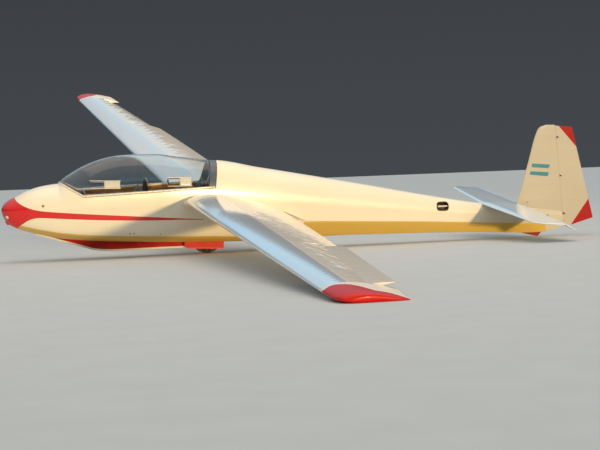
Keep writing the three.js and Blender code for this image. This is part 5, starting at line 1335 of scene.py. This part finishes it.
# Rudder pedals. Each is a bent alloy plate with a ribbed tread and a heel cup, hung on a steel bar through its foot.
alloy_finish = two_tone("mill_alloy", ("#9b9d9f", "#c3c5c6"), dict(kind="Noise", Scale=6.0, Detail=3.0),
                        rough=(0.25, 0.45), stretch=(60.0, 4.0, 60.0), Metallic=1.0, Roughness=0.35)
for side, sign in SIDES:
    t = np.linspace(0, 1, 60)
    path = smooth_path([(0.640, 0, 0.306), (0.598, 0, 0.390), (0.568, 0, 0.480), (0.556, 0, 0.572)], 60)
    ribs = 0.0012 * np.clip(np.sin(t * 2 * np.pi * 11) * 3, -1, 1) * (t > 0.45)
    width = np.concatenate([-np.ones(1), np.linspace(-1, 1, 13), np.ones(1)])
    flange = np.concatenate([[0.012], np.zeros(13), [0.012]])
    _, normal = on_line(path[:, ::2], t)
    tread = flange - ribs[:, None] * (np.abs(width) < 0.8)
    plate = grid(path[:, None, 0] + tread * normal[:, None, 0], sign * 0.095
                 + width * 0.041 * (0.55 + 0.45 * np.minimum(1, t[:, None] * 2.2)),
                 path[:, None, 2] + tread * normal[:, None, 1])
    bar = np.stack([np.full(12, 0.632), sign * 0.095 + np.linspace(-0.040, 0.040, 12), np.full(12, 0.322)], 1)
    piece(f"rudder_pedal_{side}_plate", [(plate, False, ())], alloy_finish, "airframe",
          [f"rudder_pedal_{side}"], wall=0.003)
    piece(f"rudder_pedal_{side}_bar", [(tube(bar, 0.006, 14), True, (0, -1))], steel_finish, "airframe")

# Floor and wheel box. The cockpit floor is one bent sheet of birch ply, and a box of the same closes off the wheel
# well behind the rear seat. Both keep the plain part's shape, in varnished ply.
def finished(finish, *nodes):
    """Gives plain CAD pieces a finish."""
    for name in nodes:
        for slot in frame["nodes"][name].material_slots:
            slot.material = finish


finished(ply_finish, "cockpit_floor", "wheel_box")

# Main wheel. An alloy rim of two spun halves, bolted round a hub, under a tyre with a plain rib tread. It turns on a
# steel axle across the well.
WHEEL = {"x": 2.610, "z": 0.200, "radius": 0.200, "half": 0.048, "rim": 0.112, "hub": 0.034}
tyre_finish = two_tone("ribbed_tyre", ("#1b1a19", "#6d5326"), dict(kind="Noise", Scale=22.0, Detail=6.0),
                       (0.4, 0.003), window=(0.42, 0.62), Roughness=0.8, IOR=1.5)


def turned_about(profile, count, x=WHEEL["x"], z=WHEEL["z"]):
    """A profile of (y, radius) turned about a level line across the fuselage."""
    angle = np.arange(count) * 2 * np.pi / count
    y, radius = np.asarray(profile, float).T
    return grid(x + radius[:, None] * np.cos(angle), y[:, None], z + radius[:, None] * np.sin(angle))


sweep = np.linspace(-np.pi * 0.5, np.pi * 0.5, 41)
side_y = WHEEL["half"] * np.sign(np.sin(sweep)) * np.abs(np.sin(sweep)) ** 0.62
crown = WHEEL["rim"] + (WHEEL["radius"] - WHEEL["rim"]) * np.abs(np.cos(sweep)) ** 0.52
ribs = 0.0025 * (np.cos(side_y / 0.0075 * np.pi) > 0.55) * (np.abs(side_y) < 0.034)
outer = np.stack([side_y, crown - ribs], 1)
inner = np.array([(0.040, 0.110), (0.028, 0.104), (-0.028, 0.104), (-0.040, 0.110)])
profile = np.concatenate([outer, inner, outer[:1]])
piece("main_tyre_casing", [(turned_about(profile, 96), True, ())], tyre_finish, "main_wheel",
      ["main_tyre"], crease=30)
rim = np.array([(-0.036, 0.034), (-0.036, 0.030), (-0.040, 0.030), (-0.040, 0.040), (-0.012, 0.046), (-0.010, 0.082),
                (-0.028, 0.092),
                (-0.040, 0.103), (-0.044, 0.110), (-0.041, 0.1125), (-0.034, 0.107), (-0.022, 0.101), (0.022, 0.101),
                (0.034, 0.107), (0.041, 0.1125),
                (0.044, 0.110), (0.040, 0.103), (0.028, 0.092), (0.010, 0.082), (0.012, 0.046), (0.040, 0.040),
                (0.040, 0.030), (0.036, 0.030),
                (0.036, 0.012), (-0.036, 0.012), (-0.036, 0.034)])
bolts = []
for turn in np.arange(6) * np.pi / 3:
    x, z = WHEEL["x"] + 0.063 * np.cos(turn), WHEEL["z"] + 0.063 * np.sin(turn)
    for sign in (-1, 1):
        head = np.array([(0.0105, 0.0), (0.0105, 0.0072), (0.017, 0.0072), (0.017, 0.0065), (0.018, 0.0)]) * (sign, 1)
        bolts.append((turned_about(head, 6, x, z), True, ()))
piece("main_wheel_rim", [(turned_about(rim, 96), True, ())], alloy_finish, "main_wheel", ["main_wheel_hub"],
      crease=30)
piece("main_wheel_bolts", bolts, steel_finish, "main_wheel", crease=20)
pin = np.array([(-0.083, 0.0), (-0.083, 0.008), (-0.081, 0.010), (0.081, 0.010), (0.083, 0.008), (0.083, 0.0)])
piece("wheel_axle_pin", [(turned_about(pin, 32), True, ())], steel_finish, "airframe", ["wheel_axle"])

# Landing skid. A laminated ash plank, bent up at the nose, varnished a pale cream all over. A red canvas
# skirt tacked to its edges closes the gap up to the belly, drawn in folds.
SKID = np.array([(0.400, 0.296), (0.550, 0.257), (0.740, 0.199), (0.930, 0.145), (1.070, 0.104), (1.150, 0.082),
                 (1.290, 0.066),
                 (1.410, 0.062), (1.600, 0.066), (1.870, 0.073), (2.060, 0.078), (2.300, 0.081)])
skid_finish = two_tone("pale_cream_ash", ("#cfc4a8", "#efe9d8"), dict(kind="Noise", Scale=2.0, Detail=5.0), (0.25, 0.001),
                       stretch=(2.0, 60.0, 140.0), Roughness=0.5, IOR=1.5)
PLANK_THICK, PLANK_HALF = 0.025, 0.050
x = np.linspace(SKID[0, 0], SKID[-1, 0], 110)
low = fair(SKID, x)[:, 0]
keel = fair(STATION, x)[:, 0]
high = np.minimum(low + PLANK_THICK, keel - 0.0006)
profile = np.array([(-1, 0.18), (-0.94, 0.02), (-0.86, 0.0), (-0.4, 0.0), (0.0, 0.0), (0.4, 0.0), (0.86, 0.0),
                    (0.94, 0.02), (1, 0.18), (1, 0.82), (0.94, 0.98), (0.86, 1.0), (0.0, 1.0), (-0.86, 1.0),
                    (-0.94, 0.98), (-1, 0.82)])
half = PLANK_HALF * np.minimum(1, 0.72 + 0.28 * ((x - SKID[0, 0]) / 0.35) ** 0.5)
plank = grid(x[:, None], half[:, None] * profile[:, 0], low[:, None] + (high - low)[:, None] * profile[:, 1])
piece("landing_skid_plank", [(plank, True, (0, -1))], skid_finish, "airframe", ["landing_skid"])
canvas_finish = two_tone("proofed_canvas", ("#8e0f0b", "#c9150d"), dict(kind="Noise", Scale=7.0, Detail=4.0),
                         Roughness=0.75, IOR=1.4, Sheen_Weight=0.05)
tree = canvas_finish.node_tree
here = node(tree, "ShaderNodeTexCoord").outputs["Object"]
threads = [drawn(tree, here, "Wave", Scale=90.0, Distortion=0.2, bands_direction=way) for way in "XZ"]
weave = node(tree, "ShaderNodeMath", dict(enumerate(threads)), operation="MULTIPLY").outputs[0]
raised(tree, tree.nodes["Principled BSDF"], (weave, 0.3, 0.001))
SKIRT_FROM, SKIRT_TO, SKIRT_HALF = 0.612, 2.288, 0.0425
x = np.linspace(SKIRT_FROM, SKIRT_TO, 420)
foot = np.minimum(fair(SKID, x)[:, 0] + PLANK_THICK, fair(STATION, x)[:, 0]) - 0.008
top = fair(STATION, x)[:, 0] + 0.004
fold = 0.0016 * np.sin(x * 41) * np.sin(x * 13.7 + 1) + 0.0010 * np.sin(x * 97 + 2)
t = np.linspace(0, 1, 17)[None]
pucker = 0.0007 * np.sin(2 * np.pi * (t * 2 + x[:, None] * 9))
slack = np.sin(np.pi * t) * (0.004 + fold[:, None]) + pucker * np.sin(np.pi * t)
skirt = []
for sign in (-1, 1):
    y = sign * (SKIRT_HALF - slack)
    skirt.append(grid(x[:, None], y, foot[:, None] + (top - foot)[:, None] * t))
# One strip of canvas: down the port side, over the plank and up the starboard side
strip = np.concatenate([skirt[0][:, ::-1], skirt[1]], 1)
skirt_sheet = piece("skid_canvas_skirt", [(strip, False, ())], canvas_finish, "airframe",
                    ["skid_fairing"],
                    wall=0.0012, crease=60)
across, along = np.diff(strip, axis=1)[:-1], np.diff(strip, axis=0)[:, :-1]
tacks = []
for sign in (-1, 1):
    for at in np.arange(0.64, 2.28, 0.055):
        z = min(fair(SKID, np.array([at]))[0, 0] + PLANK_THICK, fair(STATION, np.array([at]))[0, 0]) - 0.004
        dome = np.array([(SKIRT_HALF, 0.0028), (SKIRT_HALF + 0.0009, 0.0022), (SKIRT_HALF + 0.0013, 0.0)]) * (sign, 1)
        tacks.append((turned_about(dome, 10, at, z), True, ()))
piece("skid_tacks", tacks, steel_finish, "airframe")

# Wheel fairings. A flat alloy plate each side of the wheel, red gloss, with a rolled lip along its foot and flush
# rivets to the belly.
plate_finish = two_tone("red_gloss_sheet", ("#b5140a", "#e0230f"), dict(kind="Noise", Scale=9.0, Detail=5.0),
                        (0.12, 0.004), Roughness=0.3, IOR=1.5, Coat_Weight=0.4, Coat_Roughness=0.1)
edge = np.array([(2.305, 0.200), (2.305, 0.102), (2.318, 0.090), (2.340, 0.0765), (2.400, 0.0748), (2.600, 0.0690),
                 (2.800, 0.0632), (2.8155, 0.0640), (2.818, 0.0680), (2.818, 0.200)])
run = np.concatenate([[0], np.cumsum(np.linalg.norm(np.diff(edge, axis=0), axis=1))])
foot_x, foot_z = (np.interp(np.linspace(0, run[-1], 120), run, line) for line in edge.T)
for side, sign in SIDES:
    rows = [grid(foot_x, sign * 0.0745, foot_z + 0.001)]
    for share in (0.0, 0.02, 0.05, 0.2, 0.5, 0.8, 1.0):
        rows.append(grid(foot_x, sign * (0.0790 if share > 0.03 else 0.0795), foot_z + (0.197 - foot_z) * share))
    sheet = np.array(rows)
    piece(f"wheel_fairing_{side}_plate", [(sheet, False, ())], plate_finish, "airframe",
          [f"wheel_fairing_{side}"], wall=0.0018, crease=30)

# Tail skid. An ash block on a sprung foot, painted red, with a steel shoe screwed under it. Its red is darkened as
# painted shade, with brown scuffs.
shaded_tail_skid_finish = two_tone("scuffed_red_enamel_painted_shade", ("#93140b", "#7d6442"), dict(kind="Noise", Scale=35.0, Detail=6.0),
                            (0.3, 0.001), window=(0.62, 0.66), Roughness=0.45, IOR=1.5)
BLOCK = {"from": 6.935, "heel": 7.188, "to": 7.240, "head": 0.240, "half": 0.028, "round": 0.012}
ease = BLOCK["round"] * np.linspace(0, 1, 6) ** 2
x = np.unique(np.concatenate([np.linspace(BLOCK["from"], BLOCK["to"], 60), BLOCK["from"] + ease, BLOCK["to"] - ease]))
low = np.interp(x, [BLOCK["from"], BLOCK["heel"], BLOCK["to"]], [0.170, 0.1135, 0.172])
high = np.full(len(x), BLOCK["head"])
inset = sum(np.maximum(1 - far / BLOCK["round"], 0) ** 2 for far in (x - BLOCK["from"], BLOCK["to"] - x))
half = BLOCK["half"] - 0.006 * inset
profile = np.array([(-1, 0.10), (-0.9, 0.0), (0.0, 0.0), (0.9, 0.0), (1, 0.10), (1, 0.5), (1, 1), (0, 1), (-1, 1),
                    (-1, 0.5)])
block = grid(x[:, None], half[:, None] * profile[:, 0], low[:, None] + (high - low)[:, None] * profile[:, 1])
piece("tail_skid_block", [(block, True, (0, -1))], shaded_tail_skid_finish, "airframe", ["tail_skid"],
      crease=35)
finished(steel_finish, "tail_skid_shoe")

# Tow hook. A forged hook that stands down from the belly close behind the nose, with a steel ring plate, all red.
finished(plate_finish, "tow_release")

# Hinge rods and tubes that show in the gaps: drawn steel
finished(steel_finish, "elevator_torque_tube", "rudder_hinge_rod", "aileron_hinge_rod_port",
         "aileron_hinge_rod_starboard", "canopy_hinge_front", "canopy_hinge_rear")

# Small fittings. Domed steel screws hold the canopy's rail every 70 mm, and two steel straps hang the canopy on its
# hinges. Steel lugs carry the rudder. Vents, drains and bolt heads of brass, rubber and steel dot the skin.
def axes_about(outward):
    """The outward way at unit length, and two more square to it and to each other."""
    outward = np.asarray(outward, float) / np.linalg.norm(outward)
    first = np.cross((0, 0, 1.0) if abs(outward[2]) < 0.9 else (1.0, 0, 0), outward)
    first /= np.linalg.norm(first)
    return outward, first, np.cross(outward, first)


def domed(at, outward, radius, rise, sides=12):
    """A dome on a surface: rings whose radius and rise go as the sine and cosine of the slope, about the outward way
    at a place."""
    outward, first, second = axes_about(outward)
    slope = np.linspace(0.02, 1, 6)[:, None] * np.pi / 2
    angle = np.arange(sides) * 2 * np.pi / sides
    out = radius * np.sin(slope)
    rings = out[..., None] * (np.cos(angle)[:, None] * first + np.sin(angle)[:, None] * second)
    rings = rings + (rise * np.cos(slope))[..., None] * outward + np.asarray(at, float)
    return np.concatenate([rings, rings[-1:] - 0.002 * outward])


screws = []
for side in (-1, 1):
    at = np.arange(0.80, 2.63, 0.070)
    z = sill_line(at) + 0.5 * (RAIL_FOOT + RAIL_HEAD)
    for x, level, y in zip(at, z, skin_side(at, z)):
        screws.append((domed((x, side * (y + 0.0012), level), (0, side, 0.12), 0.0045, 0.0022, 10), True, (0, -1)))
piece("rail_screws", screws, steel_finish, "canopy")
HINGE_AT = np.array([1.240, 2.320])
hinge_y = skin_side(HINGE_AT, sill_line(HINGE_AT)).max() + 0.014
straps = []
for x in HINGE_AT:
    sill = float(sill_line(x))
    wall_y = float(skin_side(np.array([x]), np.array([sill + 0.018]))[0])
    wrap = np.linspace(0.0, 1.55 * np.pi, 22)
    curl = np.stack([hinge_y + 0.0075 * np.cos(wrap), sill - 0.012 - 0.0075 * np.sin(wrap)], 1)
    leaf = smooth_path([(wall_y - 0.004, sill + 0.022), (wall_y + 0.004, sill + 0.0215),
                        (hinge_y + 0.002, sill + 0.016), (hinge_y + 0.0075, sill + 0.004)], 24)
    line = np.concatenate([leaf, curl])
    width = x + np.linspace(-0.0145, 0.0145, 7)
    straps.append((grid(width, line[:, None, 0], line[:, None, 1]), False, ()))
piece("canopy_hinge_straps", straps, steel_finish, "canopy", wall=0.0022)
lug_parts = []
for level in LUG_LEVELS:
    x = float(post_x(level))
    bend = np.linspace(-np.pi / 2, np.pi / 2, 17)
    outline = np.concatenate([np.stack([x + 0.002 + 0.0115 * np.cos(bend), 0.0078 * np.sin(bend)], 1),
                              [(x - 0.060, 0.0078), (x - 0.060, -0.0078)]])
    rows = [np.stack([x + (outline[:, 0] - x) * share, outline[:, 1] * share, np.full(len(outline), level + lift)], 1)
            for share, lift in ((0.93, -0.006), (1.0, -0.005), (1.0, 0.005), (0.93, 0.006))]
    lug_parts.append((np.array(rows), True, (0, -1)))
piece("rudder_lugs", lug_parts, steel_finish, "airframe")

# Brass static vent, rubber drains, and the bolts at the fin's foot
brass_finish = two_tone("dulled_brass", ("#6e4c1c", "#b58a3c"), dict(kind="Noise", Scale=60.0, Detail=4.0),
                        rough=(0.3, 0.55), Metallic=1.0, Roughness=0.4)


def on_skin(x, z, side=-1):
    """A point of the fuselage's skin in side view, and the way out from it: the normal of the skin's two slopes
    there."""
    near = np.array([x, x - 0.004, x + 0.004, x, x]), np.array([z, z, z, z - 0.004, z + 0.004])
    y = skin_side(*near)
    return (x, side * y[0], z), (-(y[2] - y[1]) / 0.008, side, -(y[4] - y[3]) / 0.008)


at, way = on_skin(0.490, 0.690)
piece("static_vent_disc", [(domed(at, way, 0.016, 0.003, 28), True, (0, -1))], brass_finish, "airframe")
drains = [(*on_skin(1.572, 0.323), 0.0075), (*on_skin(1.623, 0.326), 0.0075), (*on_skin(1.963, 0.310), 0.006),
          (*on_skin(7.308, 0.404), 0.011)]
piece("rubber_grommets", [(domed(at, way, size, 0.003, 20), True, (0, -1)) for at, way, size in drains],
      rubber_finish, "airframe")
bolts = [(domed((x, side * (0.0285 + 0.001), z), (0, side, 0), 0.0085, 0.004, 16), True, (0, -1)) for x,
         z in ((7.017, 0.586), (7.014, 0.511)) for side in (-1, 1)]
piece("fin_foot_bolts", bolts, steel_finish, "airframe")
at, way = on_skin(0.060, 0.535)
inlet = np.array([(0.0, 0.0), (0.022, 0.0), (0.022, 0.004), (0.018, 0.007), (0.012, 0.006), (0.010, 0.001),
                  (0.0, 0.001)])
way, first, second = axes_about(way)
angle = np.arange(32) * 2 * np.pi / 32
ring = np.cos(angle)[:, None] * first + np.sin(angle)[:, None] * second
piece("nose_air_inlet", [(np.asarray(at) + inlet[:, 0, None, None] * ring + inlet[:, 1, None, None] * way, True, ())],
      rail_finish, "airframe")
scupper = np.array([(5.882, 0.0), (5.890, 0.5), (5.905, 0.85), (5.925, 1.0), (5.945, 0.9), (5.956, 0.0)])
x = np.linspace(5.883, 5.955, 20)
swell = fair(scupper, x)[:, 0]
turn = np.linspace(np.pi, 2 * np.pi, 17)
keel = fair(STATION, x)[:, 0]
shell = grid(x[:, None], 0.018 * swell[:, None] * np.cos(turn), keel[:, None] + 0.001
             + 0.018 * swell[:, None] * np.sin(turn))
piece("keel_scupper", [(shell, True, ())], rail_finish, "airframe")
